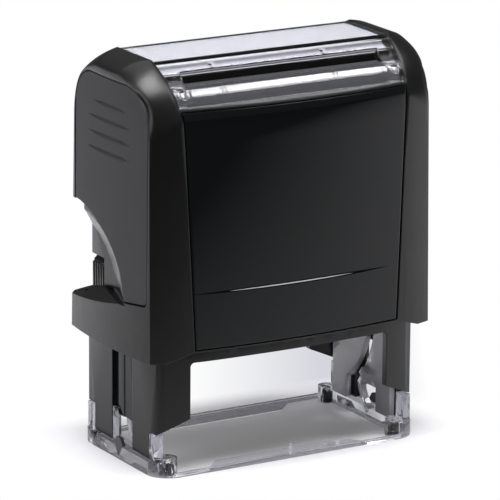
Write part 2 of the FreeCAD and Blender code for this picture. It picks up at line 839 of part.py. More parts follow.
def make_spring_peg(x):
    """Peg on the deck that keeps one return spring in place."""
    peg = cylinder_z(peg_radius, x, 0.0, deck_top, deck_top + peg_height)
    rim = [e for e in peg.Edges if e.BoundBox.ZMin > deck_top + peg_height - fit_gap]
    return peg.makeChamfer(peg_chamfer, rim)


def make_web():
    """Web that closes the slot between the two legs of one end, with its rib."""
    half = end_slot_half - seat_gap
    top = end_slot_top - seat_gap
    web = box(frame_inner, frame_inner + end_web_thick, -half, half, end_web_foot, top)
    rib = box(frame_inner, frame_inner + web_rib_depth, web_rib_low, web_rib_high,
              end_web_foot, top)
    return web.fuse(rib).removeSplitter()


def latch_window():
    """Arched window through the web, beside the cam slot."""
    y = latch_window_middle
    half = latch_window_width / 2
    block = box(frame_inner - 1.0, far, y - half, y + half, latch_window_low,
                latch_window_high - half)
    arch = cylinder_x(half, frame_inner - 1.0, far, y, latch_window_high - half)
    return block.fuse(arch)


# ---------------------------------------------------------------- clear foot
def rounded_plan(half_x, half_y, radius, z0, z1):
    """Block with round upright corners."""
    block = box(-half_x, half_x, -half_y, half_y, z0, z1)
    edges = [e for e in block.Edges if e.BoundBox.ZLength > (z1 - z0) * 0.9]
    return block.makeFillet(radius, edges)


def make_foot():
    """Clear foot: rim, end rails, flanges, posts, bosses and centre ticks."""
    full = rounded_plan(foot_half_length, foot_half_depth, foot_corner, 0.0, post_height)
    inner = rounded_plan(foot_half_length - foot_rim_width, foot_half_depth - foot_rim_width,
                         foot_corner - foot_rim_width, -1.0, post_height + 1.0)
    foot = full.common(box(-far, far, -far, far, 0.0, foot_rim_height)).cut(inner)
    rail = box(foot_half_length - foot_end_width, far, -far, far, 0.0, foot_end_height)
    foot = foot.fuse(full.common(both_ends(rail)))
    flange = Part.Face(polygon([Vector(-flange_half_outer, -foot_half_depth, 0),
                                Vector(flange_half_outer, -foot_half_depth, 0),
                                Vector(flange_half_inner, -flange_inner, 0),
                                Vector(-flange_half_inner, -flange_inner, 0)]))
    foot = foot.fuse(both_sides(flange.extrude(Vector(0, 0, flange_height))))
    shaft = box(post_inner_x, frame_half_length + 0.2, post_inner_y,
                frame_corner_depth, 0.0, post_height)
    boss = cylinder_z(boss_radius, boss_x, boss_y, 0.0, boss_height)
    corner = shaft.fuse(boss)
    foot = foot.fuse(both_sides(both_ends(corner)))
    hole = cylinder_z(plug_radius, boss_x, boss_y, -1.0, plug_height + seat_gap)
    foot = foot.cut(both_sides(both_ends(hole)))
    tick = box(-tick_width / 2, tick_width / 2, -foot_half_depth, -foot_half_depth + tick_width,
               0.0, tick_height)
    foot = foot.fuse(tick).fuse(both_ends(tongue()))
    notch = mark_outline(seat_gap, foot_half_length - mark_thick - seat_gap, far)
    return foot.cut(both_ends(notch)).removeSplitter()


def tongue():
    """Hooked tongue that stands on an end rail, between the two legs."""
    low = foot_end_height - 0.2
    points = [(hook_back - 1.6, low), (hook_back, low), (hook_back, hook_height),
              (hook_back - 0.5, hook_height), (hook_back - 2.3, hook_height - 2.2),
              (hook_back - 1.6, hook_height - 2.8)]
    return prism_x(points, hook_inner, hook_inner + hook_thick)


def mark_outline(grow, x0, x1):
    """Arrow that points down at the middle of an end rail."""
    half = mark_half_width + grow
    points = [(0.0, mark_low - grow), (half, mark_waist), (mark_top_half, mark_high + grow),
              (-mark_top_half, mark_high + grow), (-half, mark_waist)]
    return prism_x(points, x0, x1)


def make_mark():
    """Dark arrow set in the right end rail."""
    return mark_outline(0.0, foot_half_length - mark_thick, foot_half_length)


def make_plug(x, y):
    """Rubber plug that keeps one corner of the foot from slipping."""
    plug = cylinder_z(plug_radius - fit_gap, x, y, 0.0, plug_height)
    rim = [e for e in plug.Edges if abs(e.BoundBox.ZMin - plug_height) < 1e-6]
    return plug.makeFillet(plug_round, rim)


def make_guide():
    """Right guide plate: cam slot, hub, two columns and a curved centring tongue."""
    way = follower_at(guide_foot)
    plate = box(guide_inner, guide_outer, -guide_half_depth, guide_half_depth,
                guide_foot, guide_top)
    for side in (-1, 1):
        y0, y1 = sorted((side * (column_y - column_width / 2),
                         side * (column_y + column_width / 2)))
        plate = plate.fuse(box(guide_inner, guide_outer, y0, y1, foot_end_height, guide_top))
    hub = shield(way - hub_reach, hub_size, guide_inner - hub_thick, guide_inner + 0.2)
    plate = plate.fuse(hub)
    root = way - tongue_gap
    drop = guide_foot + tongue_root - foot_end_height
    outer = [(root - share * tongue_reach, foot_end_height + rise * drop)
             for share, rise in ((0.0, 1.0), (0.17, 0.55), (0.52, 0.23), (1.0, 0.0))]
    upper = Part.BSplineCurve()
    upper.interpolate([Vector(guide_inner, y, z) for y, z in outer])
    lower = Part.BSplineCurve()
    lower.interpolate([Vector(guide_inner, y - tongue_width, z) for y, z in reversed(outer)])
    wire = Part.Wire([upper.toShape(),
                      Part.makeLine(Vector(guide_inner, outer[-1][0], outer[-1][1]),
                                    Vector(guide_inner, outer[-1][0] - tongue_width, outer[-1][1])),
                      lower.toShape(),
                      Part.makeLine(Vector(guide_inner, outer[0][0] - tongue_width, outer[0][1]),
                                    Vector(guide_inner, outer[0][0], outer[0][1]))])
    plate = plate.fuse(prism(wire, Vector(guide_thick, 0, 0)))
    cut = cam_cutter(follower_radius + slide_gap, guide_inner - 2.0, guide_outer + 1.0)
    return plate.cut(cut).removeSplitter()


def follower_at(height):
    """Where the follower peg passes one height on its way down."""
    before = cam_path(24)[0]
    for point in cam_path(24):
        if point[1] <= height:
            share = (before[1] - height) / (before[1] - point[1])
            return before[0] + share * (point[0] - before[0])
        before = point
    return before[0]


def shield(middle, size, x0, x1):
    """Boss with a round top and a pointed lower end, beside the cam slot."""
    z = guide_foot + size + 0.4
    left = Vector(x0, middle - size, z)
    right = Vector(x0, middle + size, z)
    tip = Vector(x0, middle, z - 1.25 * size)
    arc = Part.Arc(left, Vector(x0, middle, z + 0.75 * size), right).toShape()
    wire = Part.Wire([arc, Part.makeLine(right, tip), Part.makeLine(tip, left)])
    return prism(wire, Vector(x1 - x0, 0, 0))


# ---------------------------------------------------------------- text plate and arms
def make_arm():
    """Right arm of the shell, from the roof down to the axle."""
    arm = box(arm_inner, arm_outer, -arm_half_width, arm_half_width, axle_height, roof_under)
    arm = arm.fuse(cylinder_x(arm_half_width, arm_inner, arm_outer, 0.0, axle_height))
    wide = arm_half_width + arm_head
    arm = arm.fuse(box(arm_inner - arm_head, arm_outer + arm_head, -wide, wide,
                       roof_under - arm_head_thick, roof_under))
    hole = cylinder_x(axle_radius + fit_gap, arm_inner - 1.0, arm_outer + 1.0, 0.0, axle_height)
    return arm.cut(hole)


def make_carrier():
    """Carrier of the text plate with its end discs and follower pegs."""
    body = box(-carrier_half_length, carrier_half_length, -carrier_half_width,
               carrier_half_width, axle_height - carrier_thick_down,
               axle_height + carrier_thick_up)
    edges = [e for e in body.Edges
             if abs(e.BoundBox.ZMax - (axle_height - carrier_thick_down)) < 1e-6]
    body = body.makeChamfer(carrier_chamfer, edges)
    disc = cylinder_x(disc_radius, carrier_half_length, disc_outer, 0.0, axle_height)
    disc = disc.common(box(-far, far, -far, far, axle_height - disc_radius,
                           axle_height + carrier_thick_up))
    peg = cylinder_x(follower_radius, carrier_half_length, guide_outer - slide_gap,
                     -follower_offset, axle_height)
    end = disc.fuse(peg)
    carrier = body.fuse(both_ends(end))
    bore = cylinder_x(axle_radius + fit_gap, carrier_half_length - axle_grip, far, 0.0, axle_height)
    return carrier.cut(both_ends(bore)).removeSplitter()


def make_axle():
    """Right axle pin, pressed into the carrier."""
    pin = cylinder_x(axle_radius, carrier_half_length - axle_grip, axle_reach, 0.0, axle_height)
    rim = [e for e in pin.Edges if abs(e.BoundBox.XMin - axle_reach) < 1e-6]
    return pin.makeChamfer(0.3, rim)


def make_foam():
    """Foam layer that evens out the pressure under the text plate."""
    z = axle_height + carrier_thick_up
    return box(-imprint_length / 2, imprint_length / 2, -imprint_width / 2, imprint_width / 2,
               z, z + foam_thick)


def make_text_plate():
    """Rubber text plate with a plain raised border and bars instead of lettering."""
    z = axle_height + carrier_thick_up + foam_thick
    half_x = imprint_length / 2
    half_y = imprint_width / 2
    plate = box(-half_x, half_x, -half_y, half_y, z, z + rubber_thick)
    top = z + rubber_thick + relief_height
    ring = box(-half_x, half_x, -half_y, half_y, z + rubber_thick, top)
    in_x = half_x - border_width
    in_y = half_y - border_width
    ring = ring.cut(box(-in_x, in_x, -in_y, in_y, z, top + 1.0))
    plate = plate.fuse(ring)
    for row in range(bar_rows):
        y = in_y - (row + 1) * 2 * in_y / (bar_rows + 1)
        reach = half_x - (bar_inset_long if row % 2 == 0 else bar_inset_short)
        bar = box(-reach, reach, y - bar_half_width, y + bar_half_width, z + rubber_thick, top)
        plate = plate.fuse(bar)
    return plate.removeSplitter()


# ---------------------------------------------------------------- ink cartridge
def make_tray():
    """Tray of the ink cartridge: open below, with a wide bar at the back."""
    tray = box(-tray_half_length, tray_half_length, -tray_front, tray_back, tray_low, tray_high)
    bar = box(-guide_inner, guide_inner, handle_front, tray_back, tray_low, tray_high)
    tray = tray.fuse(bar)
    pocket = box(-pad_half_length - seat_gap, pad_half_length + seat_gap,
                 -pad_half_depth - seat_gap, pad_half_depth + seat_gap, tray_low - 1.0,
                 pad_face + pad_thick + seat_gap)
    hollow = box(-tray_half_length + tray_wall, tray_half_length - tray_wall,
                 -tray_front + tray_wall, handle_front, pad_face + pad_thick + tray_floor_gap,
                 tray_high - tray_floor_gap)
    return tray.cut(pocket).cut(hollow).removeSplitter()


def make_pad():
    """Felt ink pad."""
    return box(-pad_half_length, pad_half_length, -pad_half_depth, pad_half_depth,
               pad_face, pad_face + pad_thick)


def make_cartridge_grip():
    """Ribbed grip at the right end of the cartridge."""
    block = box(guide_inner, upper_half_length - grip_block_inset, handle_front, tray_back,
                grip_block_low, grip_block_high)
    edge = [e for e in block.Edges
            if abs(e.BoundBox.ZMin - grip_block_high) < 1e-6 and e.BoundBox.YLength > 1.0
            and e.BoundBox.XMin > guide_inner + 0.5]
    block = block.makeChamfer(grip_block_chamfer, edge)
    pitch = (tray_back - handle_front) / grip_block_ribs
    for i in range(grip_block_ribs):
        y = handle_front + (i + 0.5) * pitch
        rib = box(upper_half_length - 1.0, upper_half_length, y - 0.3 * pitch, y + 0.3 * pitch,
                  grip_block_low, grip_block_high - grip_rib_drop)
        block = block.fuse(rib)
    return block.removeSplitter()


# ---------------------------------------------------------------- springs
def make_spring(x):
    """Return spring between the deck and the roof, with closed ends left open."""
    low = deck_top + wire_radius
    height = roof_under - deck_top - 2 * wire_radius
    helix = Part.makeHelix(height / spring_coils, height, spring_radius)
    section = Part.Wire([Part.Circle(Vector(spring_radius, 0, 0), Vector(0, 1, 0),
                                     wire_radius).toShape()])
    spring = Part.Wire(helix.Edges).makePipeShell([section], True, True)
    spring.translate(Vector(x, 0, low))
    return spring


# ---------------------------------------------------------------- write the parts
def all_parts():
    """Every node of the stamp by name."""
    parts = {
        "outer_shell": make_shell(),
        "front_panel": face_panel(panel_low, -1, panel_thick, 0.0),
        "back_panel": face_panel(back_panel_low, 1, panel_thick, 0.0),
        "top_window": make_window(),
        "index_card": make_card(),
        "leg_frame": make_frame(),
        "clear_foot": make_foot(),
        "plate_carrier": make_carrier(),
        "plate_foam": make_foam(),
        "text_plate": make_text_plate(),
        "ink_tray": make_tray(),
        "ink_pad": make_pad(),
        "end_web_left": mirror_x(make_web()),
        "end_web_right": make_web().cut(latch_window()),
    }
    pairs = {
        "side_panel": make_side_panel(),
        "shell_arm": make_arm(),
        "guide_plate": make_guide(),
        "centre_mark": make_mark(),
        "axle_pin": make_axle(),
        "cartridge_grip": make_cartridge_grip(),
    }
    for name, shape in pairs.items():
        parts[name + "_right"] = shape
        parts[name + "_left"] = mirror_x(shape)
    for side, sign in (("left", -1), ("right", 1)):
        parts["return_spring_" + side] = make_spring(sign * spring_x)
        parts["spring_peg_" + side] = make_spring_peg(sign * spring_x)
        parts["rubber_plug_front_" + side] = make_plug(sign * boss_x, -boss_y)
        parts["rubber_plug_back_" + side] = make_plug(sign * boss_x, boss_y)
    return parts


os.makedirs("parts", exist_ok=True)
for node, solid in sorted(all_parts().items()):
    solid.exportStep("parts/" + node + ".step")
    print("%-26s solids %d  valid %s  volume %8.1f  size %5.1f %5.1f %5.1f" % (
        node, len(solid.Solids), solid.isValid(), solid.Volume,
        solid.BoundBox.XLength, solid.BoundBox.YLength, solid.BoundBox.ZLength))
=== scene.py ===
import json
import math

import bmesh
import bpy
import numpy as np
from mathutils import Matrix, Vector

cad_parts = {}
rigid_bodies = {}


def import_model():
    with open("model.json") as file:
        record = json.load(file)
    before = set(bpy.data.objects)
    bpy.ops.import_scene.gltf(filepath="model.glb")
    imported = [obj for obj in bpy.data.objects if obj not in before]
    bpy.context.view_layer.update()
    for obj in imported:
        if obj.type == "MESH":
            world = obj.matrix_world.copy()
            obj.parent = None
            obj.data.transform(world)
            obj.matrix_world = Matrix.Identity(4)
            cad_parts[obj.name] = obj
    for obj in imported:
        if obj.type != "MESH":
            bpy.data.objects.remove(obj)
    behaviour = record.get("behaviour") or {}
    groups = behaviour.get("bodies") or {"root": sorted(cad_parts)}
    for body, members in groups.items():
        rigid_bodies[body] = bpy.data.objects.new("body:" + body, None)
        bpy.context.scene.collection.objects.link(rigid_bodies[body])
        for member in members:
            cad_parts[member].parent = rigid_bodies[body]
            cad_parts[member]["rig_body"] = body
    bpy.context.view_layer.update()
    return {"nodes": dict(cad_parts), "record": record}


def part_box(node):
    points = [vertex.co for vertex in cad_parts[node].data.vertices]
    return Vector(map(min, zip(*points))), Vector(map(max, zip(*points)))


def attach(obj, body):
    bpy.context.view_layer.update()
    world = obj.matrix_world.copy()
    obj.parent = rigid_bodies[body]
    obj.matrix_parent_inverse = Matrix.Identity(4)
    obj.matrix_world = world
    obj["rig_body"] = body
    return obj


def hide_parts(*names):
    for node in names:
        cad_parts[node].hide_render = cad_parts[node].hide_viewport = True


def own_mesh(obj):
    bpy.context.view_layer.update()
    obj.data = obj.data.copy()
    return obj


bl_info = {
    "name": "Self Inking Stamp Look",
    "version": (1, 0, 0),
    "blender": (4, 5, 0),
    "location": "View3D > Sidebar > Stamp",
    "description": "Finishes a self inking stamp: smooth mouldings, clear parts, rubber and felt",
    "category": "Object",
}

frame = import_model()
SLOTS = {s["node"]: s["material_slot"] for s in frame["record"]["subparts"]}
MM = 0.001

# The form of the shell that the new pieces follow, in millimetres
SHELL_FRONT = 22.95         # half depths: at the middle, where the bow ends, at the corner
SHELL_SHOULDER = 21.1
SHELL_CORNER = 18.5
SHELL_BOW_HALF = 27.0
SHELL_HALF = 36.8
SHELL_BOTTOM = 27.5
SHELL_TOP = 94.3
ROLL_START = 82.3
ROLL_FALL = 0.035           # how fast the upright faces roll back above ROLL_START
LEAN_FRONT = 0.5
LEAN_CORNER = 1.1
END_BULGE = 1.4
END_LEAN = 0.6

# Front and back panels
PANEL_GAP = 0.20
PANEL_ROUND = 0.30
PANEL_THICK = 0.7
PANEL_CROWN_TALL = 7.0      # the top part of the panel that leans back
PANEL_HALF = ((29.95, 76.0, 84.3), (26.6, 28.7, 29.2))      # half width over height
LINE_HEIGHT = 43.0
LINE_LEAST = 0.004          # half height of the line's pointed ends
GROOVE_SPAN = (-27.4, 23.8)
LINE_SPAN = (-18.6, 13.8)

# Side inlays and their grip grooves
INLAY_FRONT = -17.1
INLAY_BACK = 16.6
INLAY_TOP = 89.5
INLAY_CORNER_Y = 8.8
INLAY_CORNER_Z = 10.5
INLAY_FOOT_ROUND = 1.6
INLAY_SUNK = 0.04
INLAY_RIM = 0.30
INLAY_RIM_DROP = 0.50
INLAY_THICK = 0.8
GRIP_TOP = 83.2
GRIP_PITCH = 3.65
GRIP_HALF = 0.62
GRIPS = ((7.4, -1.1), (9.8, -0.6), (9.8, -0.6), (9.8, -0.6))    # half length and middle
BELT_FRONT = 39.4
DISH_MARKS = ((-7.7, 38.8), (-6.1, 46.0), (3.0, 54.8), (16.0, 58.0))
DISH_FRONT = DISH_MARKS[0][0]
FOOT_SLOPE = 1.1 / 9.4

# The window is straight along X: (half depth, height) of its section's control points
WINDOW_KNEE = (19.49, 82.1)
WINDOW_BEND = (16.37, 90.05)
WINDOW_FLAT = (8.20, 93.9)
WINDOW_WALL = 1.7
WINDOW_LOW = 85.1
WINDOW_TALL = 8.9
WINDOW_HALF = 29.3
WINDOW_TAPER = 1.2
SLOT_NEAR = 12.0
SLOT_FAR = 14.7
SLOT_HALF = 25.6
LIP_THIN = 0.8
LIP_GROW = 0.52             # the plate behind the lip is thicker by this after LIP_DEEP
LIP_DEEP = 4.5
BAR_BULGE = 0.42
SEAMS = (-17.0, 12.0)
RELIEF_END = (11.0, 8.5)    # the relief fades out between these ways from the middle
CARD_HALF_LENGTH = 29.8
CARD_HALF_DEPTH = 8.3
CARD_CORNER = 1.2
CARD_CLEAR = 0.03
PAINTED_SHEET_HALF = 29.2
# Sheets under the window that paint what shows through it, painted light under the lips, painted
# shade in the slots and painted light behind the bars: name, slot, front and back depth,
# distances below its section
PAINTED_SHEETS = (("painted_lip_sheet", "painted_lip_grey", 11.6, 6.8, 1.60, 1.66),
           ("slot_shade_sheet", "shade_and_groove_black", 13.5, 11.5, 1.81, 1.86),
           ("painted_bar_sheet", "painted_bar_grey", 18.1, 13.5, 1.81, 1.86))

FOAM_CORNER = 0.9
PAD_CORNER = 1.6

# The stage, in metres and degrees
CROWN_RISE = (0.066, 0.076)     # the crown's rounder edges begin and are full here
FOOTPRINT = (0.0382, 0.0230)
SHADOW_FADE = 0.009
# least share of the floor's white glow under the object: painted light in its shadow
PAINTED_LIGHT_LEAST = 0.13
REFLECTED_DARK_SPAN = (-0.25, 0.10)      # the floor's painted dark front, seen only in reflections, ends between these
SHADE_ACROSS = (0.861, 0.508)   # direction across the view, for the painted shadow behind the legs
SHADE_LEFT = (-0.016, 0.018)    # where the painted shadow begins and where it is full
SHADE_RIGHT = (0.043, 0.028)
SHADE_FAR = (0.100, 0.060)
SHADE_NEAR = (0.0, 0.010)
SHADOW_TINT = (0.69, 0.69, 0.71, 1.0)   # of the lamps' light behind clear plastic
LAMPS = (("key lamp", (0.66, -0.40, 1.15), (0.0, 0.0, 0.05), (0.5, 0.30)),
         ("top lamp", (-0.15, -0.20, 1.15), (-0.15, -0.20, 0.05), (0.60, 0.62)),
         ("side lamp", (-1.25, 0.10, 0.62), (0.0, 0.0, 0.05), (0.9, 0.9)),
         ("back lamp", (0.10, 0.75, 1.20), (0.0, 0.0, 0.05), (1.2, 0.8)))
CAMERA_PLACE = (-0.47326, -0.80110, 0.29901)
CAMERA_TURN = (30.56, 15.28, 0.46)      # yaw, pitch and roll
CAMERA_LENS = 302.5


# -------- user settings
def colour_setting(name, description, default):
    """Colour of a settings group."""
    return bpy.props.FloatVectorProperty(name=name, description=description, subtype="COLOR",
                                         size=3, min=0.0, max=1.0, default=default)


def length_setting(name, description, default):
    """Length of a settings group, in metres."""
    return bpy.props.FloatProperty(name=name, description=description, subtype="DISTANCE",
                                   unit="LENGTH", min=0.0, default=default)


def power_setting(name, description, default):
    """Lamp power of a settings group, in watts."""
    return bpy.props.FloatProperty(name=name, description=description, subtype="POWER",
                                   min=0.0, default=default)


class StampColours(bpy.types.PropertyGroup):
    """Colours of the finishes."""
    shell: colour_setting("Shell", "Satin black of the shell and the legs",
                          (0.0035, 0.0035, 0.0038))
    inlay: colour_setting("Side inlay", "Matte charcoal of the inlays in the end faces",
                          (0.044, 0.044, 0.048))
    panel: colour_setting("Panel", "Gloss black of the front and back panels",
                          (0.0035, 0.0045, 0.0048))
    clear: colour_setting("Clear parts", "Tint of the clear window and foot",
                          (0.93, 0.93, 0.95))
    card: colour_setting("Card", "Index card under the window", (0.83, 0.83, 0.85))
    rubber: colour_setting("Text plate", "Rubber of the text plate", (0.23, 0.075, 0.065))
    ink: colour_setting("Ink", "Ink in the felt pad", (0.012, 0.012, 0.020))


class StampSizes(bpy.types.PropertyGroup):
    """Sizes of the pieces that are made here."""
    lip_radius: length_setting(
        "Lip radius", "Rounding of the clear lips beside the card slots", 0.0006)
    seam_width: length_setting(
        "Seam width", "Width of the moulding seams across the clear bars", 0.0011)
    grip_depth: length_setting(
        "Grip depth", "Depth of the grip grooves in the side inlays", 0.0005)
    line_height: length_setting(
        "Line height", "Height of the pale line on the front panel", 0.00036)
    groove_height: length_setting(
        "Groove height", "Height of the dark groove around the pale line", 0.0008)
    panel_crown: length_setting(
        "Panel crown", "How far the upper edge of the front panel leans back", 0.0004)
    card_bow: length_setting(
        "Card bow", "How far the index card bows up in the middle", 0.00006)


class StampLights(bpy.types.PropertyGroup):
    """Studio light."""
    key_power: power_setting("Key lamp", "Power of the lamp above the front on the right", 5.4)
    top_power: power_setting("Top lamp", "Power of the lamp straight above", 12.5)
    side_power: power_setting("Side lamp", "Power of the lamp on the left", 9.5)
    back_power: power_setting("Back lamp", "Power of the lamp above the back", 2.5)
    room: bpy.props.FloatProperty(
        name="Room", description="Strength of the grey room light", min=0.0, default=0.09)


# -------- shader nodes
def put(tree, target, value):
    """Fills a socket: a signal or a socket is linked to it, anything else is its value."""
    value = getattr(value, "socket", value)
    if isinstance(value, bpy.types.NodeSocket):
        tree.links.new(value, target)
    else:
        target.default_value = value


def wire(tree, node, inputs):
    """Fills a node's sockets from a table of their names; returns the node."""
    for name, value in inputs.items():
        put(tree, node.inputs[name], value)
    return node


def add(tree, kind, inputs=None, **settings):
    """New shader node of a kind, with its settings and its sockets filled."""
    node = tree.nodes.new("ShaderNode" + kind)
    for name, value in settings.items():
        setattr(node, name, value)
    return wire(tree, node, inputs or {})


def maths(tree, operation, *values):
    """One Math node over signals, sockets or numbers."""
    node = add(tree, "Math", dict(enumerate(values)), operation=operation)
    return Signal(tree, node.outputs[0])


class Signal:
    """Value in a shader tree that arithmetic works on: each step is a Math node."""

    def __init__(self, tree, socket):
        self.tree, self.socket = tree, socket

    def __add__(self, other):
        return maths(self.tree, "ADD", self, other)

    def __sub__(self, other):
        return maths(self.tree, "SUBTRACT", self, other)

    def __rsub__(self, other):
        return maths(self.tree, "SUBTRACT", other, self)

    def __mul__(self, other):
        return maths(self.tree, "MULTIPLY", self, other)

    def __truediv__(self, other):
        return maths(self.tree, "DIVIDE", self, other)

    def clip(self):
        """The same step, held between 0 and 1."""
        self.socket.node.use_clamp = True
        return self

    def ramp(self, low, high):
        """0 at `low`, 1 at `high`, straight between them and level beyond."""
        return ((self - low) / (high - low)).clip()


def spot(tree):
    """Object coordinates."""
    return add(tree, "TexCoord").outputs["Object"]


def axes(tree, vector):
    """The three parts of a vector socket as signals."""
    return [Signal(tree, s) for s in add(tree, "SeparateXYZ", {0: vector}).outputs]


def stretched(tree, scale, rotation=(0.0, 0.0, 0.0)):
    """Object coordinates, turned and stretched."""
    return add(tree, "Mapping", {"Vector": spot(tree), "Scale": scale,
                                 "Rotation": rotation}).outputs[0]


def noise(tree, scale, detail=2.0, rough=0.5, vector=None):
    """Noise over object coordinates, or over another vector socket."""
    node = add(tree, "TexNoise", {"Vector": spot(tree) if vector is None else vector,
                                  "Scale": scale, "Detail": detail, "Roughness": rough})
    return Signal(tree, node.outputs["Fac"])


def new_group(name, inputs, outputs):
    """Empty shader node group: the tree, its inputs as signals and its output node.

    `inputs` gives the default of each number that goes in; `outputs` names the sockets.
    """
    group = bpy.data.node_groups.new(name, "ShaderNodeTree")
    for label, value in inputs.items():
        group.interface.new_socket(name=label, in_out="INPUT",
                                   socket_type="NodeSocketFloat").default_value = value
    for label in outputs:
        kind = "NodeSocketVector" if label == "Normal" else "NodeSocketFloat"
        group.interface.new_socket(name=label, in_out="OUTPUT", socket_type=kind)
    start = group.nodes.new("NodeGroupInput")
    values = [Signal(group, start.outputs[label]) for label in inputs]
    return group, values, group.nodes.new("NodeGroupOutput")


def grain_group():
    """Spark-eroded grain: two noises, a fine and a coarser one, summed to a height."""
    group, (scale, coarse), end = new_group(
        "moulded_grain", {"Scale": 2600.0, "Coarse": 0.35}, ("Height", "Mottle"))
    fine = noise(group, scale, 3.0, 0.65)
    wide = noise(group, scale * 0.21, 2.0)
    wire(group, end, {"Height": fine + wide * coarse, "Mottle": noise(group, 90.0, 3.0, 0.6)})
    return group


def edge_group():
    """Rounded edges: the bevelled normal, and a mask where it departs from the plain one."""
    group, (radius, sharpness), end = new_group(
        "soft_edges", {"Radius": 0.0003, "Sharpness": 6.0}, ("Normal", "Edge"))
    bevel = add(group, "Bevel", {"Radius": radius}, samples=6).outputs[0]
    plain = add(group, "NewGeometry").outputs["Normal"]
    dot = add(group, "VectorMath", {0: bevel, 1: plain}, operation="DOT_PRODUCT")
    bend = (1.0 - Signal(group, dot.outputs["Value"])).clip()
    wire(group, end, {"Normal": bevel, "Edge": (bend * sharpness).clip()})
    return group


def dust_group():
    """Fine dust: sparse specks and a faint haze, more on faces that look up."""
    group, (amount, scale), end = new_group(
        "fine_dust", {"Amount": 0.15, "Scale": 900.0}, ("Mask",))
    cells = add(group, "TexVoronoi", {"Vector": spot(group), "Scale": scale})
    speck = maths(group, "LESS_THAN", cells.outputs["Distance"], 0.055)
    patch = maths(group, "GREATER_THAN", noise(group, 160.0, 4.0, 0.7), 0.56)
    haze = noise(group, 45.0, 4.0, 0.6) * 0.35
    up = axes(group, add(group, "NewGeometry").outputs["Normal"])[2].ramp(-1.0, 1.0)
    wire(group, end, {"Mask": ((speck * patch + haze) * (amount * up)).clip()})
    return group


def smudge_group():
    """Handling marks: stretched low noise that moves the roughness a little."""
    group, (base, spread), end = new_group(
        "handling_smudge", {"Base": 0.1, "Spread": 0.05}, ("Roughness",))
    where = stretched(group, (1.0, 1.0, 2.4), (0.2, 0.5, 0.1))
    smear = noise(group, 55.0, 5.0, 0.6, where) - 0.5
    wire(group, end, {"Roughness": (base + smear * spread).clip()})
    return group


GROUPS = {}


def place(tree, name, **values):
    """Instance of a shared group with its own input values; returns its outputs."""
    if not GROUPS:
        GROUPS.update(grain=grain_group(), edges=edge_group(), dust=dust_group(),
                      smudge=smudge_group())
    node = wire(tree, add(tree, "Group", node_tree=GROUPS[name]), values)
    return {socket.name: Signal(tree, socket) for socket in node.outputs}


# -------- materials
FINISH = {}


def start_material(name):
    """New node material, kept by its name; returns its tree and its Principled shader."""
    material = FINISH[name] = bpy.data.materials.new(name)
    material.use_nodes = True
    tree = material.node_tree
    return tree, tree.nodes["Principled BSDF"]


def shaded(colour, factor, extra=0.0):
    """Colour times a factor plus a little, at most 1."""
    return tuple(min(1.0, c * factor + extra) for c in colour)


def mix_colour(tree, mask, low, high):
    """Mixes two colours by a mask; either colour may be a socket."""
    low, high = (c if isinstance(c, bpy.types.NodeSocket) else (*c, 1.0) for c in (low, high))
    return add(tree, "Mix", {"Factor": mask, 6: low, 7: high}, data_type="RGBA").outputs[2]


def choose_shader(tree, mask, first, second):
    """Shows the second shader where the mask is 1, on the material's surface."""
    both = add(tree, "MixShader", {0: mask, 1: first.outputs[0], 2: second.outputs[0]})
    wire(tree, tree.nodes["Material Output"], {"Surface": both.outputs[0]})


def bump(tree, height, strength, distance, normal=None):
    """Bump over a height; returns its normal."""
    inputs = {"Strength": strength, "Distance": distance, "Height": height}
    if normal is not None:
        inputs["Normal"] = normal
    return add(tree, "Bump", inputs).outputs[0]


def moulded_plastic(name, colour, roughness, specular, grain=2600.0, height=0.000012,
                    worn=1.7, dust=0.10, edge=0.00028, crown=None):
    """Opaque moulding: grain bump, mottled colour, lighter worn edges and a little dust.

    With `crown` the edges are rounded by that radius near the top of the object.
    """
    tree, shader = start_material(name)
    texture = place(tree, "grain", Scale=grain)
    if crown:
        edge = axes(tree, spot(tree))[2].ramp(*CROWN_RISE) * (crown - edge) + edge
    edges = place(tree, "edges", Radius=edge)
    mottled = mix_colour(tree, texture["Mottle"], colour, shaded(colour, 1.18, 0.0006))
    edged = mix_colour(tree, (edges["Edge"] * texture["Mottle"]).clip(), mottled,
                       shaded(colour, worn, 0.002))
    specks = place(tree, "dust", Amount=dust)["Mask"]
    wire(tree, shader, {
        "Base Color": mix_colour(tree, specks, edged, (0.20, 0.20, 0.20)),
        "Roughness": place(tree, "smudge", Base=roughness, Spread=0.10)["Roughness"],
        "Specular IOR Level": specular,
        "Normal": bump(tree, texture["Height"], 0.6, height, edges["Normal"])})


def gloss_plastic(name, colour, specular, roughness=0.06):
    """High-gloss moulding: faint ripple, handling marks and sparse dust."""
    tree, shader = start_material(name)
    base = mix_colour(tree, noise(tree, 35.0, 3.0), colour, shaded(colour, 1.35))
    specks = place(tree, "dust", Amount=0.06, Scale=1400.0)["Mask"]
    wire(tree, shader, {
        "Base Color": mix_colour(tree, specks, base, (0.25, 0.25, 0.25)),
        "Roughness": place(tree, "smudge", Base=roughness, Spread=0.05)["Roughness"],
        "Specular IOR Level": specular,
        "Normal": bump(tree, noise(tree, 120.0, 1.0), 0.25, 0.000015,
                       place(tree, "edges", Radius=0.0002)["Normal"])})


